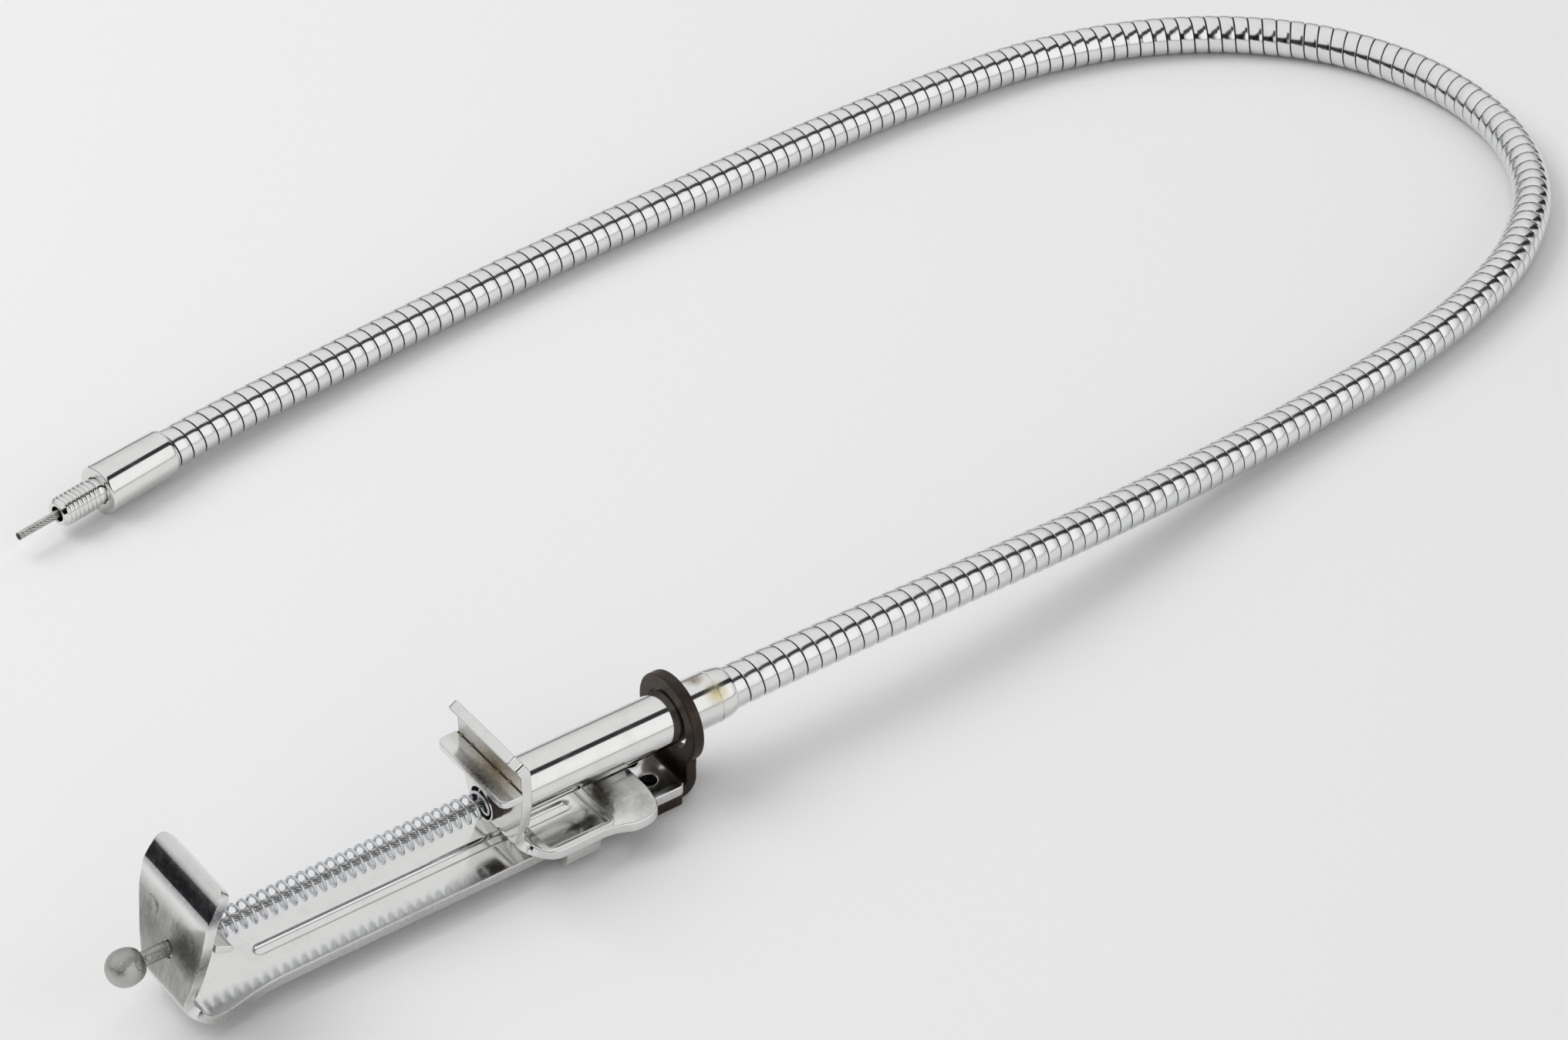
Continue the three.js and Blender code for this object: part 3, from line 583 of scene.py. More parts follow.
# ---- finishes ----
def node_group(name, inputs, outputs):
    """A shader node group with those sockets, and its two end nodes."""
    group = bpy.data.node_groups.new(name, "ShaderNodeTree")
    for label, kind, default in inputs:
        socket = group.interface.new_socket(label, in_out="INPUT", socket_type=kind)
        if default is not None:
            socket.default_value = default
    for label, kind in outputs:
        group.interface.new_socket(label, in_out="OUTPUT", socket_type=kind)
    return group, group.nodes.new("NodeGroupInput"), group.nodes.new("NodeGroupOutput")


def join(tree, a, b):
    """Links two sockets."""
    tree.links.new(a, b)


def feed(tree, value, socket):
    """Gives an input socket a number, a colour or another socket."""
    if isinstance(value, bpy.types.NodeSocket):
        join(tree, value, socket)
    elif isinstance(value, (int, float)):
        socket.default_value = value
    else:
        socket.default_value = (*value, 1)


def math_node(tree, operation, a, b=None, clamp=False):
    """A math node of two values or sockets. Gives its output."""
    node = tree.nodes.new("ShaderNodeMath")
    node.operation = operation
    node.use_clamp = clamp
    feed(tree, a, node.inputs[0])
    if b is not None:
        feed(tree, b, node.inputs[1])
    return node.outputs[0]


def times(tree, a, b, clamp=False):
    """The product of two values or sockets."""
    return math_node(tree, "MULTIPLY", a, b, clamp)


def plus(tree, a, b, clamp=False):
    """The sum of two values or sockets."""
    return math_node(tree, "ADD", a, b, clamp)


def minus(tree, a, b, clamp=False):
    """The difference of two values or sockets."""
    return math_node(tree, "SUBTRACT", a, b, clamp)


def dot_node(tree, vector, direction):
    """How far a vector reaches in a direction."""
    node = tree.nodes.new("ShaderNodeVectorMath")
    node.operation = "DOT_PRODUCT"
    join(tree, vector, node.inputs[0])
    node.inputs[1].default_value = direction
    return node.outputs["Value"]


def noise_node(tree, vector, scale, detail, roughness, stretch=None):
    """A noise texture on a vector, stretched if asked. Gives its factor."""
    if stretch is not None:
        mapping = tree.nodes.new("ShaderNodeMapping")
        mapping.inputs["Scale"].default_value = stretch
        join(tree, vector, mapping.inputs["Vector"])
        vector = mapping.outputs["Vector"]
    node = tree.nodes.new("ShaderNodeTexNoise")
    node.inputs["Scale"].default_value = scale
    node.inputs["Detail"].default_value = detail
    node.inputs["Roughness"].default_value = roughness
    join(tree, vector, node.inputs["Vector"])
    return node.outputs["Fac"]


def ramp_node(tree, value, stops):
    """A colour ramp of (place, grey) stops. Gives its colour as a value."""
    node = tree.nodes.new("ShaderNodeValToRGB")
    elements = node.color_ramp.elements
    while len(elements) < len(stops):
        elements.new(0.5)
    for element, (place_at, grey) in zip(elements, stops):
        element.position = place_at
        element.color = (grey, grey, grey, 1)
    join(tree, value, node.inputs["Fac"])
    return node.outputs["Color"]


def plating_group():
    """Ripples, fine scratches and faint blotches of a bright plated sheet."""
    if "Plating wear" in bpy.data.node_groups:
        return bpy.data.node_groups["Plating wear"]
    group, start, end = node_group(
        "Plating wear",
        [("Vector", "NodeSocketVector", None), ("Roughness", "NodeSocketFloat", 0.1),
         ("Ripple", "NodeSocketFloat", 0.5), ("Scratches", "NodeSocketFloat", 0.3)],
        [("Roughness", "NodeSocketFloat"), ("Height", "NodeSocketFloat"),
         ("Blotch", "NodeSocketFloat")],
    )
    vector = start.outputs["Vector"]
    wide = noise_node(group, vector, 120.0, 1.0, 0.4)
    near = noise_node(group, vector, 700.0, 3.0, 0.6)
    lengthways = noise_node(group, vector, 900.0, 2.0, 0.6, (0.12, 1.0, 1.0))
    hair = ramp_node(group, lengthways, [(0.0, 0.0), (0.62, 0.0), (0.7, 1.0), (1.0, 1.0)])
    wave = plus(group, wide, times(group, near, 0.16))
    wave = times(group, wave, start.outputs["Ripple"])
    scratch = times(group, hair, start.outputs["Scratches"])
    join(group, minus(group, wave, times(group, scratch, 0.02)), end.inputs["Height"])
    blotch = ramp_node(group, noise_node(group, vector, 210.0, 4.0, 0.62),
                       [(0.0, 0.0), (0.48, 0.0), (0.72, 1.0), (1.0, 1.0)])
    rough = times(group, blotch, 0.05)
    rough = plus(group, rough, times(group, scratch, 0.1))
    join(group, plus(group, rough, start.outputs["Roughness"]), end.inputs["Roughness"])
    join(group, blotch, end.inputs["Blotch"])
    return group


def new_material(name):
    """An empty node material with a Principled shader, and its tree, shader and coordinates."""
    material = bpy.data.materials.new(name)
    material.use_nodes = True
    tree = material.node_tree
    shader = tree.nodes["Principled BSDF"]
    coordinates = tree.nodes.new("ShaderNodeTexCoord")
    return material, tree, shader, coordinates.outputs["Object"]


def mix_colour(tree, amount, a, b):
    """Mixes two colours or colour sockets by a value socket."""
    node = tree.nodes.new("ShaderNodeMix")
    node.data_type = "RGBA"
    first, second = (socket for socket in node.inputs if socket.type == "RGBA")
    feed(tree, a, first)
    feed(tree, b, second)
    join(tree, amount, node.inputs[0])
    return next(socket for socket in node.outputs if socket.type == "RGBA")


def bump(tree, shader, height, distance):
    """A bump of that height in metres on the shader."""
    node = tree.nodes.new("ShaderNodeBump")
    node.inputs["Strength"].default_value = 1.0
    node.inputs["Distance"].default_value = distance
    join(tree, height, node.inputs["Height"])
    join(tree, node.outputs["Normal"], shader.inputs["Normal"])


# the worn face's greys: wear, and painted shade for that face's dim reflection
SHADED_WORN_LIGHT = (0.5, 0.5, 0.49)
SHADED_WORN_DARK = (0.24, 0.24, 0.22)
# a mark's default dulling, for stains and painted dark reflections alike
STAIN_DULLING = 0.25  # how much rougher a full stain makes the plating


def worn_and_shaded_face(tree, vector, shade, rough, spot, normal):
    """Dulls the plating past a plane and paints it grey, drawn up and down, with darker stains: a worn
    face, painted darker too as shade for its dim reflection.
    """
    beyond = minus(tree, dot_node(tree, vector, normal), Vector(spot).dot(normal))
    face = times(tree, beyond, 5000.0, True)
    streaks = noise_node(tree, vector, 1500.0, 4.0, 0.65, (1.0, 1.0, 0.16))
    stains = noise_node(tree, vector, 170.0, 4.0, 0.6)
    amount = plus(tree, times(tree, streaks, 1.1), times(tree, stains, 1.5))
    amount = minus(tree, amount, 1.0, True)
    worn_and_shaded = mix_colour(tree, amount, SHADED_WORN_LIGHT, SHADED_WORN_DARK)
    shade = mix_colour(tree, face, shade, worn_and_shaded)
    dull = plus(tree, times(tree, streaks, 0.3), 0.1)
    rough = plus(tree, rough, times(tree, face, dull))
    return shade, rough


def bright_plating(name, base, roughness, ripple, scratches, depth, marks=(), worn_and_shaded=None):
    """Bright plated steel, made on its first use. base is a colour, and depth is in metres.

    marks are stains and painted dark reflections: (place in mm, radii in metres, strength, colour),
    with a dulling of their own as a fifth value where it isn't STAIN_DULLING. The last argument is a
    place and a direction, past which the plating is dull and painted darker as shade for its dim
    reflection.
    """
    if name in bpy.data.materials:
        return bpy.data.materials[name]
    base = list(base)
    material, tree, shader, vector = new_material(name)
    wear = tree.nodes.new("ShaderNodeGroup")
    wear.node_tree = plating_group()
    join(tree, vector, wear.inputs["Vector"])
    for label, value in (("Roughness", roughness), ("Ripple", ripple), ("Scratches", scratches)):
        wear.inputs[label].default_value = value
    faint = times(tree, wear.outputs["Blotch"], 0.35)
    shade = mix_colour(tree, faint, base, [c * 0.8 for c in base])
    rough = wear.outputs["Roughness"]
    if worn_and_shaded:
        shade, rough = worn_and_shaded_face(tree, vector, shade, rough, *worn_and_shaded)
    for spot, radii, strength, tint, *dulling in marks:
        near = distance_mask(tree, vector, at(*spot), [1 / r for r in radii])
        ragged = noise_node(tree, vector, 1400.0, 3.0, 0.6)
        amount = times(tree, near, plus(tree, ragged, 0.35), True)
        amount = times(tree, amount, strength, True)
        shade = mix_colour(tree, amount, shade, tint)
        dull = times(tree, amount, dulling[0] if dulling else STAIN_DULLING)
        rough = plus(tree, rough, dull)
    join(tree, shade, shader.inputs["Base Color"])
    join(tree, rough, shader.inputs["Roughness"])
    shader.inputs["Metallic"].default_value = 1.0
    bump(tree, shader, wear.outputs["Height"], depth)
    return material


def distance_mask(tree, vector, spot, scale):
    """1 at the spot, falling to 0 at one unit from it on the scaled axes."""
    mapping = tree.nodes.new("ShaderNodeMapping")
    mapping.inputs["Scale"].default_value = scale
    mapping.inputs["Location"].default_value = [-p * s for p, s in zip(spot, scale)]
    join(tree, vector, mapping.inputs["Vector"])
    length = tree.nodes.new("ShaderNodeVectorMath")
    length.operation = "LENGTH"
    join(tree, mapping.outputs["Vector"], length.inputs[0])
    return minus(tree, 1.0, length.outputs["Value"], True)


def dull_metal(name, base, roughness, metallic, grain, depth, second=None, amount=0.4):
    """Cast, oxidised or bare metal with a grain in its colour, gloss and surface.

    It is made on its first use. second is the colour of its patches, and depth is in metres.
    """
    if name in bpy.data.materials:
        return bpy.data.materials[name]
    base = list(base)
    material, tree, shader, vector = new_material(name)
    fine = noise_node(tree, vector, grain, 4.0, 0.6)
    broad = noise_node(tree, vector, grain * 0.13, 3.0, 0.55)
    second = second or [c * 0.7 for c in base]
    patch = ramp_node(tree, broad, [(0.0, 0.0), (0.42, 0.0), (0.66, 1.0), (1.0, 1.0)])
    shade = mix_colour(tree, times(tree, patch, amount), base, second)
    join(tree, shade, shader.inputs["Base Color"])
    rough = plus(tree, times(tree, fine, 0.2), roughness - 0.1)
    join(tree, rough, shader.inputs["Roughness"])
    shader.inputs["Metallic"].default_value = metallic
    bump(tree, shader, fine, depth)
    return material


def finishes():
    """The finishes' properties."""
    return bpy.context.scene.clamp_finishes


def sizes():
    """The sizes' properties."""
    return bpy.context.scene.clamp_sizes


def sheet_plating(name, marks=(), worn_and_shaded=None):
    """Bright plating of a stamped sheet, with its stains, its painted dark reflections and its worn
    side, which is painted darker too.
    """
    f = finishes()
    return bright_plating(name, f.chrome, f.chrome_roughness, 0.7, 0.5, 0.00006, marks, worn_and_shaded)


def chrome():
    """Bright plating of the small jaw pieces."""
    return sheet_plating("Bright chromed sheet")


def jaw_chrome():
    """Bright plating of the sliding jaw and rail: a worn face painted darker too, a painted dark
    reflection on the lip and along the rail's side, and darker round the rail's holes.
    """
    # darker colour round the rail's two holes
    hole_rim_dark = (0.1, 0.095, 0.085)
    marks = (
        # painted dark reflection along the rail's near side
        ((-20, -9.7, RAIL_Z), (0.07, 0.0027, 0.004), 2.2, (0.42, 0.42, 0.41)),
        # painted dark reflection across the jaw's top lip, colour only
        ((-60.2, 0, 26.8), (0.0042, 0.04, 0.0028), 1.7, (0.2, 0.2, 0.22), 0.0),
        ((-63.4, -6.3, 17.3), (0.006, 0.0066, 0.0052), 1.9, (0.15, 0.145, 0.13)),
        ((-63.4, 6.0, 15.5), (0.006, 0.006, 0.0055), 0.9, (0.22, 0.22, 0.2)),
        ((RAIL_HOLE_X, -RAIL_HOLE_Y, RAIL_Z), (0.0027, 0.0027, 0.003), 2.0, hole_rim_dark),
        ((RAIL_HOLE_X, RAIL_HOLE_Y, RAIL_Z), (0.0027, 0.0027, 0.003), 2.0, hole_rim_dark),
    )
    # past this plane the jaw's outer face is worn, and painted darker as shade for its dim reflection
    outer = (-math.cos(JAW_LEAN), 0, math.sin(JAW_LEAN))
    return sheet_plating("Worn and shaded chromed jaw", marks, (at(-66.6, 0, RAIL_Z), outer))


def weld_chrome():
    """Bright plating of the fixed jaw, with heat tints by its weld, and painted dark reflections on its
    ledge, its upright and its saddle.
    """
    marks = (
        ((-1.0, -1.5, 23.2), (0.0055, 0.0095, 0.0048), 1.1, finishes().straw),
        # painted dark reflection along the ledge's front edge
        ((-4.6, -2.5, 22.3), (0.0026, 0.0085, 0.0012), 1.3, (0.1, 0.095, 0.085)),
        # painted grey reflection on the upright, far side
        ((-1.0, 9, 23.5), (0.003, 0.006, 0.004), 0.7, (0.4, 0.4, 0.4)),
        # painted dark reflection on the saddle's step
        ((18.2, -5.0, 8.4), (0.0042, 0.0068, 0.003), 1.5, (0.13, 0.12, 0.1)),
        # painted grey reflection on the near wing
        ((23.4, -9.0, 8.3), (0.0052, 0.006, 0.003), 1.0, (0.42, 0.42, 0.4)),
    )
    return sheet_plating("Chromed jaw by the weld", marks)


def tube_chrome():
    """Bright plating of the turned pieces, with a heat tint and a stain by the tube's crimp."""
    f = finishes()
    marks = (
        ((43.6, -3.4, 17.8), (0.0028, 0.0028, 0.0028), 1.3, (0.62, 0.54, 0.3)),
        ((41.6, 0.6, 19.2), (0.002, 0.002, 0.001), 1.2, (0.3, 0.24, 0.16)),
    )
    return bright_plating(
        "Bright chromed tube", f.chrome, f.chrome_roughness * 0.6, 0.14, 0.5, 0.00002, marks
    )


def hose_steel():
    """Softer plating of the hose's strip."""
    return bright_plating("Plated hose strip", finishes().hose, 0.13, 0.35, 0.8, 0.00002)


def shade_and_dark_ends():
    """Dark colour: painted shade in the hose's grooves and a painted shadow along the weld's seam, and
    dark on the cable's cut ends.
    """
    return dull_metal("Painted shade and dark ends", finishes().shade_and_dark_ends, 0.6, 0.3, 3000.0, 0.000004)


def zinc_wire():
    """Zinc on spring wire."""
    return dull_metal("Zinc spring wire", finishes().zinc, 0.22, 1.0, 3000.0, 0.000003)


def casting():
    """Matt die casting with a lumpy skin."""
    return dull_metal("Grey die casting", finishes().casting, 0.36, 0.95, 560.0, 0.0003,
                      (0.23, 0.235, 0.215), 0.85)


def strand_steel():
    """Bare steel strands."""
    return dull_metal("Bare steel strands", finishes().strand, 0.26, 1.0, 4000.0, 0.000003)


def black_oxide():
    """Brown-black oxide."""
    return dull_metal("Brown-black oxide", finishes().oxide, 0.42, 0.75, 2200.0, 0.000012,
                      (0.09, 0.065, 0.045), 0.6)


def weld_scale():
    """Brown scale of a weld."""
    return dull_metal("Brown weld scale", finishes().straw, 0.5, 0.7, 3600.0, 0.00002,
                      (0.07, 0.04, 0.02), 0.8)


# ---- light ----
GAP_NORMAL = (-0.412, 0.891, 0.19)  # across the dark gap between the two panels
GAP_PLACE = -0.29
# Brightness by distance from the gap, of each panel by height, and of both by how far east
GAP_EDGE = [(0.0, 0.04), (0.12, 0.05), (0.155, 1.0), (1.0, 1.0)]
FAR_PANEL = [(0.0, 0.12), (0.1, 0.22), (0.22, 0.6), (0.4, 0.76), (0.8, 0.86), (1.0, 0.86)]
NEAR_PANEL = [(0.0, 0.3), (0.04, 0.6), (0.09, 0.98), (0.35, 1.05), (1.0, 0.98)]
EAST_SIDE = [(0.0, 1.0), (0.7, 1.0), (0.92, 0.62), (1.0, 0.62)]


def soft_panels(tree):
    """Two wide soft panels over the table with a dark gap between them, and a dark low corner."""
    coordinates = tree.nodes.new("ShaderNodeTexCoord").outputs["Generated"]
    parts = tree.nodes.new("ShaderNodeSeparateXYZ")
    join(tree, coordinates, parts.inputs["Vector"])
    x, y, z = parts.outputs
    offset = minus(tree, dot_node(tree, coordinates, GAP_NORMAL), GAP_PLACE)
    gap = ramp_node(tree, math_node(tree, "ABSOLUTE", offset), GAP_EDGE)
    far = ramp_node(tree, z, FAR_PANEL)
    near = ramp_node(tree, z, NEAR_PANEL)
    side = ramp_node(tree, times(tree, offset, -8.0), [(0.0, 0.0), (1.0, 1.0)])
    shade = plus(tree, times(tree, near, side), times(tree, far, minus(tree, 1.0, side)))
    rim = minus(tree, 0.42, times(tree, y, 0.35))
    low = times(tree, minus(tree, rim, z), 9.0, True)
    west = times(tree, minus(tree, -0.4, x), 6.0, True)
    corner = times(tree, times(tree, low, west), 0.95)
    shade = times(tree, shade, minus(tree, 1.0, corner))
    east = ramp_node(tree, x, EAST_SIDE)
    return times(tree, times(tree, shade, gap), east)


# ---- operators ----
CAMERA_PLACE = (-0.29624, -0.51073, 0.5413)
CAMERA_TURN = (51.88, 0, -35.98)
CAMERA_LENS = 106.92
FLOOR_HALF = 6.0
SOFT_BOX_PLACE = (-0.55, 0.75, 1.1)
SOFT_BOX_TURN = (-38, 0, 36)
SOFT_BOX_WIDTH = 0.9


def turn_of(degrees):
    """A rotation of angles in degrees."""
    return Euler([math.radians(angle) for angle in degrees])


class CLAMP_OT_stage(bpy.types.Operator):
    """Sets up the camera, the pale floor and the soft studio light"""

    bl_idname = "clamp.stage"
    bl_label = "Stage"

    def execute(self, context):
        scene = context.scene
        light = scene.clamp_light
        lens = bpy.data.cameras.new("camera")
        lens.lens = CAMERA_LENS
        lens.sensor_width = 36.0
        lens.clip_start = 0.01
        camera = bpy.data.objects.new("camera", lens)
        camera.location = CAMERA_PLACE
        camera.rotation_euler = turn_of(CAMERA_TURN)
        scene.collection.objects.link(camera)
        scene.camera = camera

        bm = bmesh.new()
        bmesh.ops.create_grid(bm, x_segments=2, y_segments=2, size=FLOOR_HALF)
        mesh = bpy.data.meshes.new("floor")
        bm.to_mesh(mesh)
        bm.free()
        floor = bpy.data.objects.new("floor", mesh)
        scene.collection.objects.link(floor)
        material, _, shader, _ = new_material("Pale floor")
        shader.inputs["Base Color"].default_value = (*light.floor, 1)
        shader.inputs["Roughness"].default_value = 0.9
        shader.inputs["Specular IOR Level"].default_value = 0.2
        mesh.materials.append(material)

        world = bpy.data.worlds.new("studio")
        scene.world = world
        world.use_nodes = True
        ground = world.node_tree.nodes["Background"]
        join(world.node_tree, soft_panels(world.node_tree), ground.inputs["Color"])
        ground.inputs["Strength"].default_value = light.surround

        lamp = bpy.data.lights.new("key soft box", "AREA")
        lamp.shape = "SQUARE"
        lamp.size = SOFT_BOX_WIDTH
        lamp.energy = light.soft_box
        soft_box = bpy.data.objects.new("key soft box", lamp)
        soft_box.location = SOFT_BOX_PLACE
        soft_box.rotation_euler = turn_of(SOFT_BOX_TURN)
        soft_box.visible_glossy = False
        scene.collection.objects.link(soft_box)
        scene.view_settings.view_transform = "Standard"
        return {"FINISHED"}


class CLAMP_OT_hose(bpy.types.Operator):
    """Winds the armoured hose and lays it along its route to the fitting"""

    bl_idname = "clamp.hose"
    bl_label = "Armoured hose"

    def execute(self, context):
        s = sizes()
        route = Route(route_line(HOSE_ROUTE))
        begin = (HOSE_START_X - HOSE_ROUTE[0][0]) * MM
        pitch, outer = s.hose_pitch * MM, s.hose_radius * MM
        root = outer - s.hose_groove * MM
        low = outer - 0.11 * MM
        strip = [
            (0.0, root), (0.055, root), (0.07, low - 0.08 * MM), (0.09, low), (0.11, low + 0.01 * MM),
            (0.27, outer - 0.01 * MM), (0.29, outer), (0.76, outer), (0.78, outer - 0.01 * MM),
            (0.95, low + 0.01 * MM), (0.97, low), (0.985, low - 0.08 * MM), (1.0, root),
        ]
        turns = math.ceil((route.length - begin) / pitch) + 3
        bm = wound([(share * pitch, 0, r) for share, r in strip], pitch, turns, HOSE_SIDES)
        # painted shade: the faces deep in the groove between turns take the dark second material
        for f in bm.faces:
            middle = f.calc_center_median()
            f.material_index = int(math.hypot(middle.y, middle.z) < low - 0.09 * MM)
        slide(bm, begin - 1.5 * pitch)
        cut(bm, begin, keep_low=False)
        cut(bm, route.length, keep_low=True)
        bore = [(depth, HOSE_BORE) for depth in range(1, HOSE_BORE_DEPTH + 1)]
        go_on(bm, begin, [(0.0, 3.5), (0.0, HOSE_BORE)] + bore)
        cap(bm)
        lay_along(bm, route)
        hose = piece("hose", bm, "head", [hose_steel(), shade_and_dark_ends()], smooth=50)
        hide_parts("armoured_hose")
        length = route.length - begin
        path = [route.place(begin + length * i / HOSE_PATH_STEPS) for i in range(HOSE_PATH_STEPS + 1)]
        [tuple(p) for p in path]
        return {"FINISHED"}


class CLAMP_OT_fitting(bpy.types.Operator):
    """Turns the sleeve and the threaded nipple on the hose's end"""

    bl_idname = "clamp.fitting"
    bl_label = "Sleeve and nipple"

    def execute(self, context):
        s = sizes()
        length = SLEEVE_LENGTH
        sleeve = turned([
            (8.6, 4.0), (0.5, 4.02), (0.4, 4.1), (0.38, 4.4), (0.5, 4.55), (0.95, 4.74), (1.4, 4.78),
            (length - 0.6, 4.98), (length - 0.36, 4.94), (length - 0.14, 4.8), (length, 4.55),
            (length, 2.9), (length - 0.3, 2.78), (length - 0.5, 2.7), (length - 0.5, 2.2),
        ], 64)
        cap(sleeve)
        place(sleeve, fitting_place())
        made = piece("sleeve", sleeve, "head", [tube_chrome()])
        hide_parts("fitting_sleeve")

        pitch = s.thread_pitch * MM
        ridge = [
            (0.0, THREAD_ROOT), (0.08, THREAD_ROOT), (0.24, THREAD_CREST - 0.11),
            (0.36, THREAD_CREST - 0.02), (0.48, THREAD_CREST), (0.6, THREAD_CREST),
            (0.72, THREAD_CREST - 0.02), (0.84, THREAD_CREST - 0.11), (1.0, THREAD_ROOT),
        ]
        thread = wound([(share * pitch, 0, r * MM) for share, r in ridge], pitch, 12, 32)
        start, end = (length + 1.1) * MM, (length + NIPPLE_LENGTH) * MM
        slide(thread, start - 1.4 * pitch)
        cut(thread, start, keep_low=False)
        cut(thread, end, keep_low=True)
        for v in thread.verts:
            radius = math.hypot(v.co.y, v.co.z)
            most = min(THREAD_CREST * MM, 2.3 * MM + (end - v.co.x) * 0.85,
                       2.6 * MM + (v.co.x - start) * 0.8)
            if radius > most:
                v.co.y *= most / radius
                v.co.z *= most / radius
        go_on(thread, start, ((-0.15, 2.66), (-1.2, 2.66), (-3.0, 2.66)))
        go_on(thread, end, ((0.06, 2.1), (0.0, 1.75), (-0.15, 1.58), (-6.0, 1.5)))
        cap(thread)
        place(thread, fitting_place())
        made = piece("nipple", thread, "head", [tube_chrome()], smooth=35)
        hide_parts("threaded_nipple")
        return {"FINISHED"}


def take_in(bm, part):
    """Adds a copy of another bmesh."""
    mesh = bpy.data.meshes.new("part")
    part.to_mesh(mesh)
    bm.from_mesh(mesh)
    bpy.data.meshes.remove(mesh)


def strands(start, end, radius, lay):
    """A bmesh of wires laid round a core along X, in mm, with the second material on its far cut."""
    across = math.sin(math.pi / WIRE_COUNT)
    wire = radius * across / (1 + across)
    turns = math.ceil((end - start) / lay) + 1
    ring = bmesh.new()
    bmesh.ops.create_circle(ring, cap_ends=False, segments=WIRE_SIDES, radius=wire * MM)
    place(ring, Matrix.Translation((0, 0, (radius - wire) * MM)) @ Matrix.Rotation(math.pi / 2, 4, "Y"))
    spin_on(ring, lay * MM / LAY_STEPS, 2 * math.pi * turns, LAY_STEPS * turns)
    slide(ring, (start - lay / 4) * MM)
    cut(ring, start * MM, keep_low=False)
    cut(ring, end * MM, keep_low=True)
    cap(ring)
    whole = bmesh.new()
    for _ in range(WIRE_COUNT):
        take_in(whole, ring)
        bmesh.ops.rotate(ring, verts=ring.verts[:], cent=(0, 0, 0),
                         matrix=Matrix.Rotation(2 * math.pi / WIRE_COUNT, 3, "X"))
    ring.free()
    rod = radius - 1.6 * wire
    core = turned([(start, 0), (start, rod), (end, rod), (end, 0)], 12)
    take_in(whole, core)
    core.free()
    for f in whole.faces:
        f.material_index = int(all(v.co.x > (end - 0.01) * MM for v in f.verts))
    return whole


class CLAMP_OT_cables(bpy.types.Operator):
    """Lays the stranded pull cable in the head and in front of the nipple"""

    bl_idname = "clamp.cables"
    bl_label = "Stranded cable"

    def execute(self, context):
        s = sizes()
        tail_end = SLEEVE_LENGTH + NIPPLE_LENGTH + TAIL_OUT
        for name, start, end, spot, body, node in (
            ("front_strands", CABLE_FRONT_X, CABLE_REAR_X, head_place(), "pull_end", "front_cable"),
            ("tail_strands", -TAIL_INSIDE, tail_end, fitting_place(), "tail", "tail_cable"),
        ):
            bm = strands(start, end, s.cable_radius, s.cable_lay)
            place(bm, spot)
            made = piece(name, bm, body, [strand_steel(), shade_and_dark_ends()], smooth=60)
            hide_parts(node)
        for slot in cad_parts["core_cable"].material_slots:
            slot.material = strand_steel()
        return {"FINISHED"}


BALL_X = -72.5
BALL_RADIUS = 3.3
BALL_LIFT = 0.2  # the casting sits this far above the cable's axis


class CLAMP_OT_ball(bpy.types.Operator):
    """Casts the ball end, fuller towards its neck"""

    bl_idname = "clamp.ball"
    bl_label = "Ball end"

    def execute(self, context):
        profile = []
        for k in range(13):
            angle = math.pi / 2 * k / 12
            profile.append((BALL_X - BALL_RADIUS * math.cos(angle), BALL_RADIUS * math.sin(angle)))
        for k in range(1, 9):
            angle = math.radians(49) * k / 8
            profile.append((BALL_X + 3.45 * math.sin(angle), BALL_RADIUS * math.cos(angle) ** 0.68))
        profile += [(BALL_X + shift, radius) for shift, radius in (
            (2.82, 2.3), (2.95, 2.0), (3.0, 1.6), (3.15, 1.42), (3.8, 1.36))]
        profile += [(-66.0, 1.33), (-62.4, 1.35), (-62.1, 1.25), (-62.0, 0.9), (-62.0, 0)]
        bm = turned(profile)
        place(bm, Matrix.Translation((0, 0, BALL_LIFT * MM)) @ head_place())
        made = piece("ball", bm, "pull_end", [casting()])
        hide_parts("ball_terminal")
        return {"FINISHED"}


class CLAMP_OT_spring(bpy.types.Operator):
    """Winds the return spring with closed ends"""

    bl_idname = "clamp.spring"
    bl_label = "Return spring"

    def execute(self, context):
        s = sizes()
        wire, turns = s.spring_wire * MM, s.spring_turns
        start, end = SPRING_START_X * MM, SPRING_END_X * MM
        run = end - start - wire
        pitch = run / turns
        bm = bmesh.new()
        bmesh.ops.create_circle(bm, cap_ends=False, segments=10, radius=wire / 2)
        lift = SPRING_RADIUS * MM - wire / 2
        place(bm, Matrix.Translation((0, 0, lift)) @ Matrix.Rotation(math.pi / 2, 4, "X"))
        spin_on(bm, pitch / SPRING_STEPS, 2 * math.pi * turns, SPRING_STEPS * turns)
        cap(bm)
        # The end turns lie against each other, and the free ones share what is left.
        closed = 1.3 * pitch
        shut = wire * 1.05 / pitch
        for v in bm.verts:
            low, high = v.co.x, run - v.co.x
            if low < closed:
                v.co.x = low * shut
            elif high < closed:
                v.co.x = run - high * shut
            else:
                share = (low - closed) / (run - 2 * closed)
                v.co.x = closed * shut + share * (run - 2 * closed * shut)
        slide(bm, start + wire / 2)
        place(bm, head_place())
        made = piece("spring", bm, "head", [zinc_wire()], smooth=60)
        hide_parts("return_spring")
        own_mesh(made)
        return {"FINISHED"}


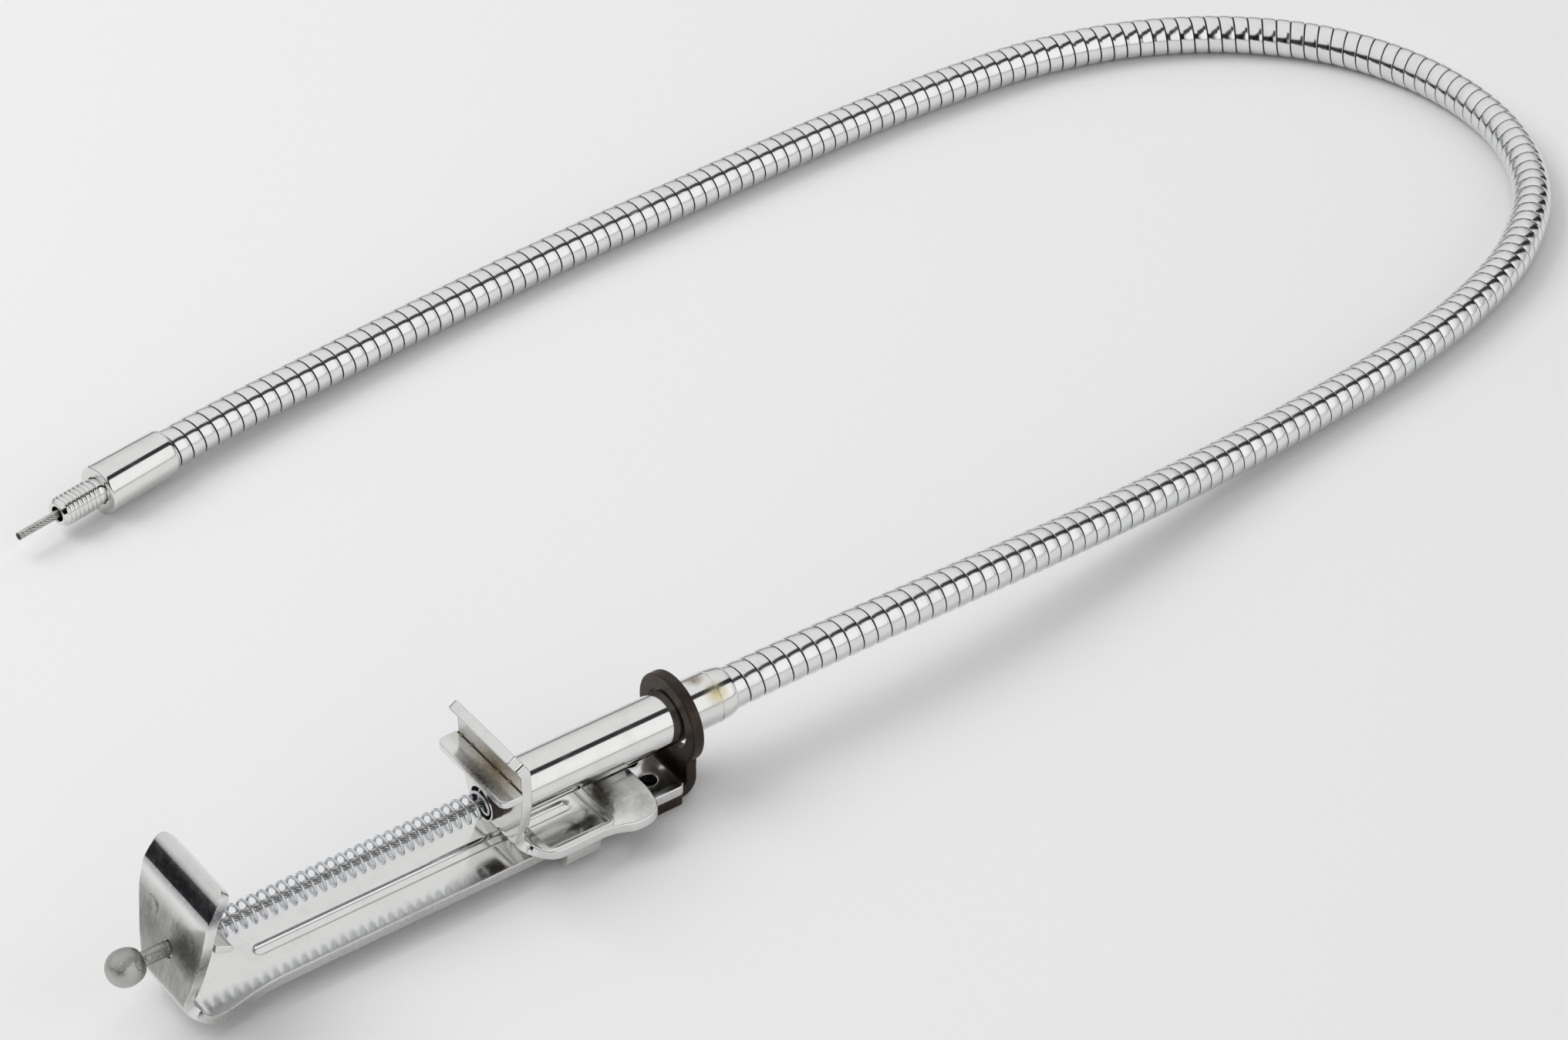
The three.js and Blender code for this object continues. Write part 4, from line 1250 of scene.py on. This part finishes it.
RAIL_END_X = 33.7
RAIL_FLARE = [
    (-64.8, 7.0), (-63.9, 7.6), (-63.1, 8.6), (-62.3, 9.25), (-61.2, 9.65), (-60.2, 9.75),
    (-58.8, 9.6), (-57.2, 9.3), (-55.5, 8.95), (-53.2, 8.5), (-51, 8.15), (-49, 7.95), (-47, 7.9),
    (32.7, 7.9), (33.7, 7.2),
]
JAW_SIDES = [
    (7.4, 6.95), (8.1, 7.1), (9.7, 7.8), (11.7, 8.5), (14, 9.1), (16, 9.5), (18, 9.95), (20.2, 10.3),
    (22.2, 10.45), (24.2, 10.5), (26.6, 10.4), (29, 10.1), (32, 10.1),
]
JAW_FOLD = (
    [(RAIL_END_X, RAIL_Z), (-65.74, RAIL_Z), (-62.35, 20.3), (-61.0, 25.2), (-58.95, 28.25),
     (-57.4, 29.7)],
    [3.2, 6, 2.5, 4],
)
FLAT_END = 80  # the rail is flat up to here, along the sheet
TIP_ROUND = 2.0
GROOVE_START_X = -49.5
GROOVE_END_X = 15.5
GROOVE_RADIUS = 1.95
GROOVE_DEPTH = 0.6
RIVET_Y = 5.6
RIVET_Z = 19.3
RIVET_X = -64.87 + (RIVET_Z - 8.1) * math.tan(JAW_LEAN)
RIVET_PROFILE = [
    (1.3, 0), (1.3, 1.1), (-0.9, 1.1), (-0.98, 1.95), (-1.1, 1.85), (-1.24, 1.66), (-1.3, 1.45),
    (-1.27, 1.25), (-1.2, 1.05), (-1.17, 0.6), (-1.17, 0),
]


def pill(start, end, radius, steps=10):
    """The two halves of a long hole with round ends about the X axis, cut along its length."""
    low, high = (start + radius, 0), (end - radius, 0)
    near = arc(low, radius, 180, 270, steps) + arc(high, radius, 270, 360, steps)
    far = arc(high, radius, 0, 90, steps) + arc(low, radius, 90, 180, steps)
    return near, far


def jaw_outline(fold, bends):
    """The flat outline of the rail and the sliding jaw, flared at the bend and rounded at the tip."""
    between = [FLAT_END + 0.7 + 0.5 * k for k in range(200)]
    stops = [0.0, 0.35, 0.7, 1.0, FLAT_END - 1.0] + sorted(bends + [
        s for s in between
        if s < fold.length - TIP_ROUND - 0.3 and min(abs(s - bend) for bend in bends) > 0.4
    ])
    stops += [fold.length - TIP_ROUND + TIP_ROUND * math.sin(math.radians(9 * k)) for k in range(11)]
    side = []
    for s in stops:
        spot = fold.place(s)
        half = eased(RAIL_FLARE, spot.x) if spot.y < JAW_SIDES[0][0] else eased(JAW_SIDES, spot.y)
        into_tip = TIP_ROUND - (fold.length - s)
        if into_tip > 0:
            half -= TIP_ROUND - math.sqrt(max(0.0, TIP_ROUND**2 - into_tip**2))
        side.append((s, half))
    return [(s, -h) for s, h in side] + [(s, h) for s, h in reversed(side)]


def press_groove(bm, start, end):
    """Presses the rail's groove down from the long hole between start and end."""
    radius = GROOVE_RADIUS * MM
    low, high = start * MM + radius, end * MM - radius

    def inward(point, shift):
        core = Vector((min(max(point.x, low), high), 0, 0))
        return core + (Vector((point.x, point.y, 0)) - core).normalized() * (radius - shift)

    reach = radius + 0.05 * MM
    rim = open_edges(bm, lambda co: low - reach < co.x < high + reach and abs(co.y) < reach)
    press(bm, rim, inward, [(0.1, -0.03), (0.22, -0.14), (0.36, -0.34), (0.5, 0.08 - GROOVE_DEPTH),
                            (0.64, -GROOVE_DEPTH)])


class CLAMP_OT_sliding_jaw(bpy.types.Operator):
    """Stamps the sliding jaw with its rail, its ledge and the two rivets"""

    bl_idname = "clamp.sliding_jaw"
    bl_label = "Sliding jaw"

    def execute(self, context):
        fold = Fold(*JAW_FOLD)
        bends = [s for s in fold.along[1:-1] if s > FLAT_END]
        start, end = RAIL_END_X - GROOVE_END_X, RAIL_END_X - GROOVE_START_X
        holes = [round_hole(RAIL_END_X - RAIL_HOLE_X, y, 1.6) for y in (-RAIL_HOLE_Y, RAIL_HOLE_Y)]
        holes.append(round_hole(fold.at_height(AXIS_Z), 0, 1.75))
        holes.append(pill(start, end, GROOVE_RADIUS))
        bm = flat_pattern(jaw_outline(fold, bends), holes, bends)
        press_groove(bm, start, end)
        fold_up(bm, fold)
        made = piece("sliding_jaw", bm, "carriage", [jaw_chrome()])
        sheet_finish(made, RAIL_SHEET, sizes().edge_round)
        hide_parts("jaw_rail")

        ledge = bar([(-60.9, 18.6), (-57.85, 17.45), (-57.5, 17.7), (-57.45, 18.3), (-57.7, 18.85),
                     (-58.4, 19.2), (-60.6, 20.2)], 10.0)
        made = piece("sliding_ledge", ledge, "carriage", [chrome()])
        sheet_finish(made, radius=0.22)
        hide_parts("front_jaw_ledge")

        for name, y in (("near", -RIVET_Y), ("far", RIVET_Y)):
            bm = turned(RIVET_PROFILE, 32)
            place(bm, Matrix.Translation(at(RIVET_X, y, RIVET_Z)) @ Matrix.Rotation(JAW_LEAN, 4, "Y"))
            made = piece("rivet_" + name, bm, "carriage", [jaw_chrome()], smooth=60)
            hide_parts("ledge_rivet_" + name)
        return {"FINISHED"}


EYE_RADIUS = 8.5
EYE_HOLE = 5.6


class CLAMP_OT_eye_bracket(bpy.types.Operator):
    """Stamps the black bracket whose eye runs round the guide tube"""

    bl_idname = "clamp.eye_bracket"
    bl_label = "Eye bracket"

    def execute(self, context):
        fold = Fold([(21, 1.1), (36.4, 1.1), (36.4, 26)], [2.4], turn=0.12)
        up = fold.at_height(10.0) - 10.0  # from a height to a length along the sheet
        foot = [(0, 5.3), (0.12, 5.9), (0.5, 6.6), (1.0, 7.1), (1.5, 7.3), (12.2, 7.3), (12.6, 6.9),
                (12.9, 6.1), (13.3, 5.9), (up + 6.2, 5.9), (up + 7.1, 6.0)]
        eye = arc((up + 13.8, 0), EYE_RADIUS, -136, 136, 48)
        outline = [(s, -h) for s, h in foot] + eye + foot[::-1]
        hole = round_hole(up + 13.8, 0, EYE_HOLE, 28)
        bm = flat_pattern(outline, [hole], fold.along[1:-1])
        thicken(bm, BRACKET_SHEET, 0.34)
        fold_up(bm, fold)
        made = piece("eye_bracket", bm, "carriage", [black_oxide()])
        sheet_finish(made)
        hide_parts("guide_eye_bracket")
        return {"FINISHED"}


FIXED_FOLD = ([(25.6, 6.25), (0, 6.25), (0, 25.8), (-2.2, 29.5)], [3, 2])
SADDLE_START = 6.2  # the rows that the saddle's step needs, along the sheet
FIXED_SIDES = [
    (0, 10.9), (0.2, 11.4), (1.0, 12.3), (2.6, 12.9), (4.8, 13.0), (6.4, 12.8), (8.1, 12.25),
    (9.8, 11.7), (11.4, 11.5), (20.0, 11.5), (21.6, 10.9), (23.0, 9.6), (24.2, 8.0), (25.2, 7.25),
    (26.4, 7.0), (27.3, 7.15), (29.05, 7.9), (32.25, 8.9), (35.05, 9.6), (37.05, 9.9), (44.0, 9.9),
]
WING_COLUMNS = (7.4, 7.8, 8.2, 8.6, 9.1, 9.7, 10.6)
RAIL_TAB = [
    (11.5, 5.9), (11.0, 3.9), (10.6, 2.6), (10.2, 1.85), (9.4, 1.25), (6, 1.25), (6, 2.4),
    (8.0, 2.4), (8.35, 2.8), (8.6, 3.9), (9.0, 5.2), (9.6, 5.9),
]
LEDGE_TIP = -5.2
LEDGE_ROUND = 1.5
WELD_DOTS_Y = (8.7, 5.5, -2.9, -6.1)
WELD_DOT_RADIUS = 0.36


def saddle_height(x, y):
    """How far the fixed jaw's base is lifted to the saddle, and how it droops at the wings."""
    share = min(max((x - 16.6) / 2.2, 0.0), 1.0)
    share = share * share * (3 - 2 * share)
    beyond = max(0.0, abs(y) - 7.6)
    droop = 0.405 * (beyond * beyond / (beyond + 1.2) if beyond else 0.0)
    return share * (1.65 - droop * 1.12)


def fixed_outline(fold, rows):
    """The flat outline of the fixed jaw: base with wings, waist, upright and the stepped lip."""
    stops = [0.0, 0.25, 0.6] + sorted(rows + [
        s for s in [1.0 + 0.4 * k for k in range(110)]
        if s < FIXED_SIDES[-1][0] and min(abs(s - row) for row in rows) > 0.28
    ])
    top, step = fold.length, fold.at_height(27.2)
    side = [(s, eased(FIXED_SIDES, s)) for s in stops if s < step - 0.3]
    far = side + [(step, 9.92), (step + 0.3, 10.05), (step + 0.6, 10.15), (step + 0.9, 10.2)]
    far += [(top - 1.4 + 1.4 * math.sin(a), 8.8 + 1.4 * math.cos(a))
            for a in [math.radians(15 * k) for k in range(7)]]
    near = [(s, -h) for s, h in side]
    near += [(step, -9.9), (step + 0.12, -9.4), (step + 0.65, -8.95)]
    near += [(top - 0.8 + 0.8 * math.sin(a), -8.1 - 0.8 * math.cos(a))
             for a in [math.radians(18 * k) for k in range(6)]]
    return near + far[::-1]


def rounded_window(start, end, half, corner):
    """The two halves of a window with rounded corners, cut across its middle."""
    middle = (start + end) / 2
    low, high, side = start + corner, end - corner, half - corner
    first = arc((low, side), corner, 90, 180, 6) + arc((low, -side), corner, 180, 270, 6)
    second = arc((high, -side), corner, 270, 360, 6) + arc((high, side), corner, 0, 90, 6)
    return (
        [(middle, half)] + first + [(middle, -half)],
        [(middle, -half)] + second + [(middle, half)],
    )


class CLAMP_OT_fixed_jaw(bpy.types.Operator):
    """Stamps the fixed jaw with its saddle and rail tabs, and welds its ledge on"""

    bl_idname = "clamp.fixed_jaw"
    bl_label = "Fixed jaw"

    def execute(self, context):
        fold = Fold(*FIXED_FOLD)
        bends = [s for s in fold.along[1:-1] if s > 20]
        rows = [SADDLE_START + 0.3 * k for k in range(12)] + bends
        window = rounded_window(8.6, 21.4, 10.2, 1.4)
        columns = [sign * y for sign in (-1, 1) for y in WING_COLUMNS]
        bm = flat_pattern(fixed_outline(fold, rows), [window], rows, columns)
        thicken(bm, FIXED_SHEET, sizes().edge_round)
        fold_up(bm, fold, saddle_height)
        made = piece("fixed_jaw", bm, "head", [weld_chrome()])
        sheet_finish(made)
        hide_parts("rear_jaw_bracket")

        for name, sign in (("near", -1), ("far", 1)):
            bm = bar([(sign * y, z) for y, z in RAIL_TAB], 3.45, "x", 10.35)
            made = piece("rail_tab_" + name, bm, "head", [chrome()])
            sheet_finish(made, radius=0.3)

        inner, half = LEDGE_TIP + LEDGE_ROUND, 8.9
        plan = [(-1.0, -half - LEDGE_ROUND)] + arc((inner, -half), LEDGE_ROUND, 270, 180, 6)
        plan += arc((inner, half), LEDGE_ROUND, 180, 90, 6) + [(-1.0, half + LEDGE_ROUND)]
        ledge = bar(plan, 0.8, "z", 21.5)
        made = piece("fixed_ledge", ledge, "head", [weld_chrome()])
        sheet_finish(made, radius=0.3)
        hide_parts("rear_jaw_ledge")

        beads = bmesh.new()
        for k, y in enumerate(WELD_DOTS_Y):
            bead = bmesh.ops.create_uvsphere(
                beads, u_segments=14, v_segments=8, radius=WELD_DOT_RADIUS * MM
            )["verts"]
            bmesh.ops.scale(beads, verts=bead, vec=(0.7, 1.15 + 0.2 * (k % 2), 0.55))
            bmesh.ops.translate(beads, verts=bead, vec=at(-1.1, y, 22.35))
        piece("weld_dots", beads, "head", [weld_scale()])
        # a thin dark bar where the ledge meets the upright: painted shadow in the seam
        seam_shadow = bar([(-1.14, 22.1), (-0.96, 22.1), (-0.96, 22.42), (-1.14, 22.36)], 9.9)
        piece("weld_seam_shadow", seam_shadow, "head", [shade_and_dark_ends()])
        return {"FINISHED"}


class CLAMP_OT_guide_tube(bpy.types.Operator):
    """Draws the guide tube with its crimped end"""

    bl_idname = "clamp.guide_tube"
    bl_label = "Guide tube"

    def execute(self, context):
        bm = turned([
            (1.3, 4.2), (1.3, 5.0), (36.9, 5.0), (37.4, 4.98), (38.4, 4.9), (43.8, 4.88), (43.86, 4.87),
            (43.92, 4.76), (44.05, 4.74), (44.18, 4.76), (44.24, 4.86), (44.3, 4.87),
            (45.0, 4.82), (45.8, 4.76), (46.6, 4.66), (47.3, 4.52), (47.65, 4.4), (47.8, 4.26),
            (47.76, 4.14), (47.4, 4.1), (44.0, 4.15), (30.0, 4.2), (1.3, 4.2),
        ], 64)
        place(bm, head_place())
        made = piece("tube", bm, "head", [tube_chrome()])
        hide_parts("guide_tube")
        return {"FINISHED"}


class CLAMP_OT_bush(bpy.types.Operator):
    """Turns the bush that seats the spring in the fixed jaw"""

    bl_idname = "clamp.bush"
    bl_label = "Spring bush"

    def execute(self, context):
        bm = turned([
            (6.5, 1.2), (3.0, 1.2), (3.0, 3.1), (-3.05, 3.1), (-3.2, 3.2), (-3.2, 3.4), (-3.1, 3.5),
            (-1.1, 3.52), (-0.85, 3.7), (-0.8, 4.0), (-0.8, 5.9), (-0.7, 6.05), (-0.5, 6.1), (1.0, 6.1),
            (1.0, 3.9), (6.5, 3.9), (6.5, 1.2),
        ], 64)
        for f in bm.faces:
            f.material_index = int(f.calc_center_median().x < -2.6 * MM)
        place(bm, head_place())
        made = piece("bush", bm, "head", [black_oxide(), chrome()])
        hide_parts("spring_bush")
        return {"FINISHED"}


STEPS = (
    CLAMP_OT_stage, CLAMP_OT_fitting, CLAMP_OT_cables, CLAMP_OT_hose, CLAMP_OT_ball,
    CLAMP_OT_spring, CLAMP_OT_sliding_jaw, CLAMP_OT_eye_bracket, CLAMP_OT_fixed_jaw,
    CLAMP_OT_guide_tube, CLAMP_OT_bush,
)


class CLAMP_PT_panel(bpy.types.Panel):
    """Lists the sizes, the finishes and the making steps"""

    bl_idname = "CLAMP_PT_panel"
    bl_label = "Clamp Head"
    bl_space_type = "VIEW_3D"
    bl_region_type = "UI"
    bl_category = "Clamp Head"

    def draw(self, context):
        layout = self.layout
        scene = context.scene
        for owner in (scene.clamp_sizes, scene.clamp_finishes, scene.clamp_light):
            box = layout.box()
            for name in owner.__annotations__:
                box.prop(owner, name)
        for step in STEPS:
            layout.operator(step.bl_idname)


CLASSES = (ClampSizes, ClampFinishes, ClampLight, *STEPS, CLAMP_PT_panel)


def register():
    """Adds the classes and the scene's properties."""
    for cls in CLASSES:
        bpy.utils.register_class(cls)
    bpy.types.Scene.clamp_sizes = PointerProperty(type=ClampSizes)
    bpy.types.Scene.clamp_finishes = PointerProperty(type=ClampFinishes)
    bpy.types.Scene.clamp_light = PointerProperty(type=ClampLight)


def unregister():
    """Removes the scene's properties and the classes."""
    del bpy.types.Scene.clamp_light
    del bpy.types.Scene.clamp_finishes
    del bpy.types.Scene.clamp_sizes
    for cls in reversed(CLASSES):
        bpy.utils.unregister_class(cls)


def main():
    """Makes every piece in order."""
    register()
    for step in STEPS:
        group, name = step.bl_idname.split(".")
        getattr(getattr(bpy.ops, group), name)()


if __name__ == "__main__":
    main()
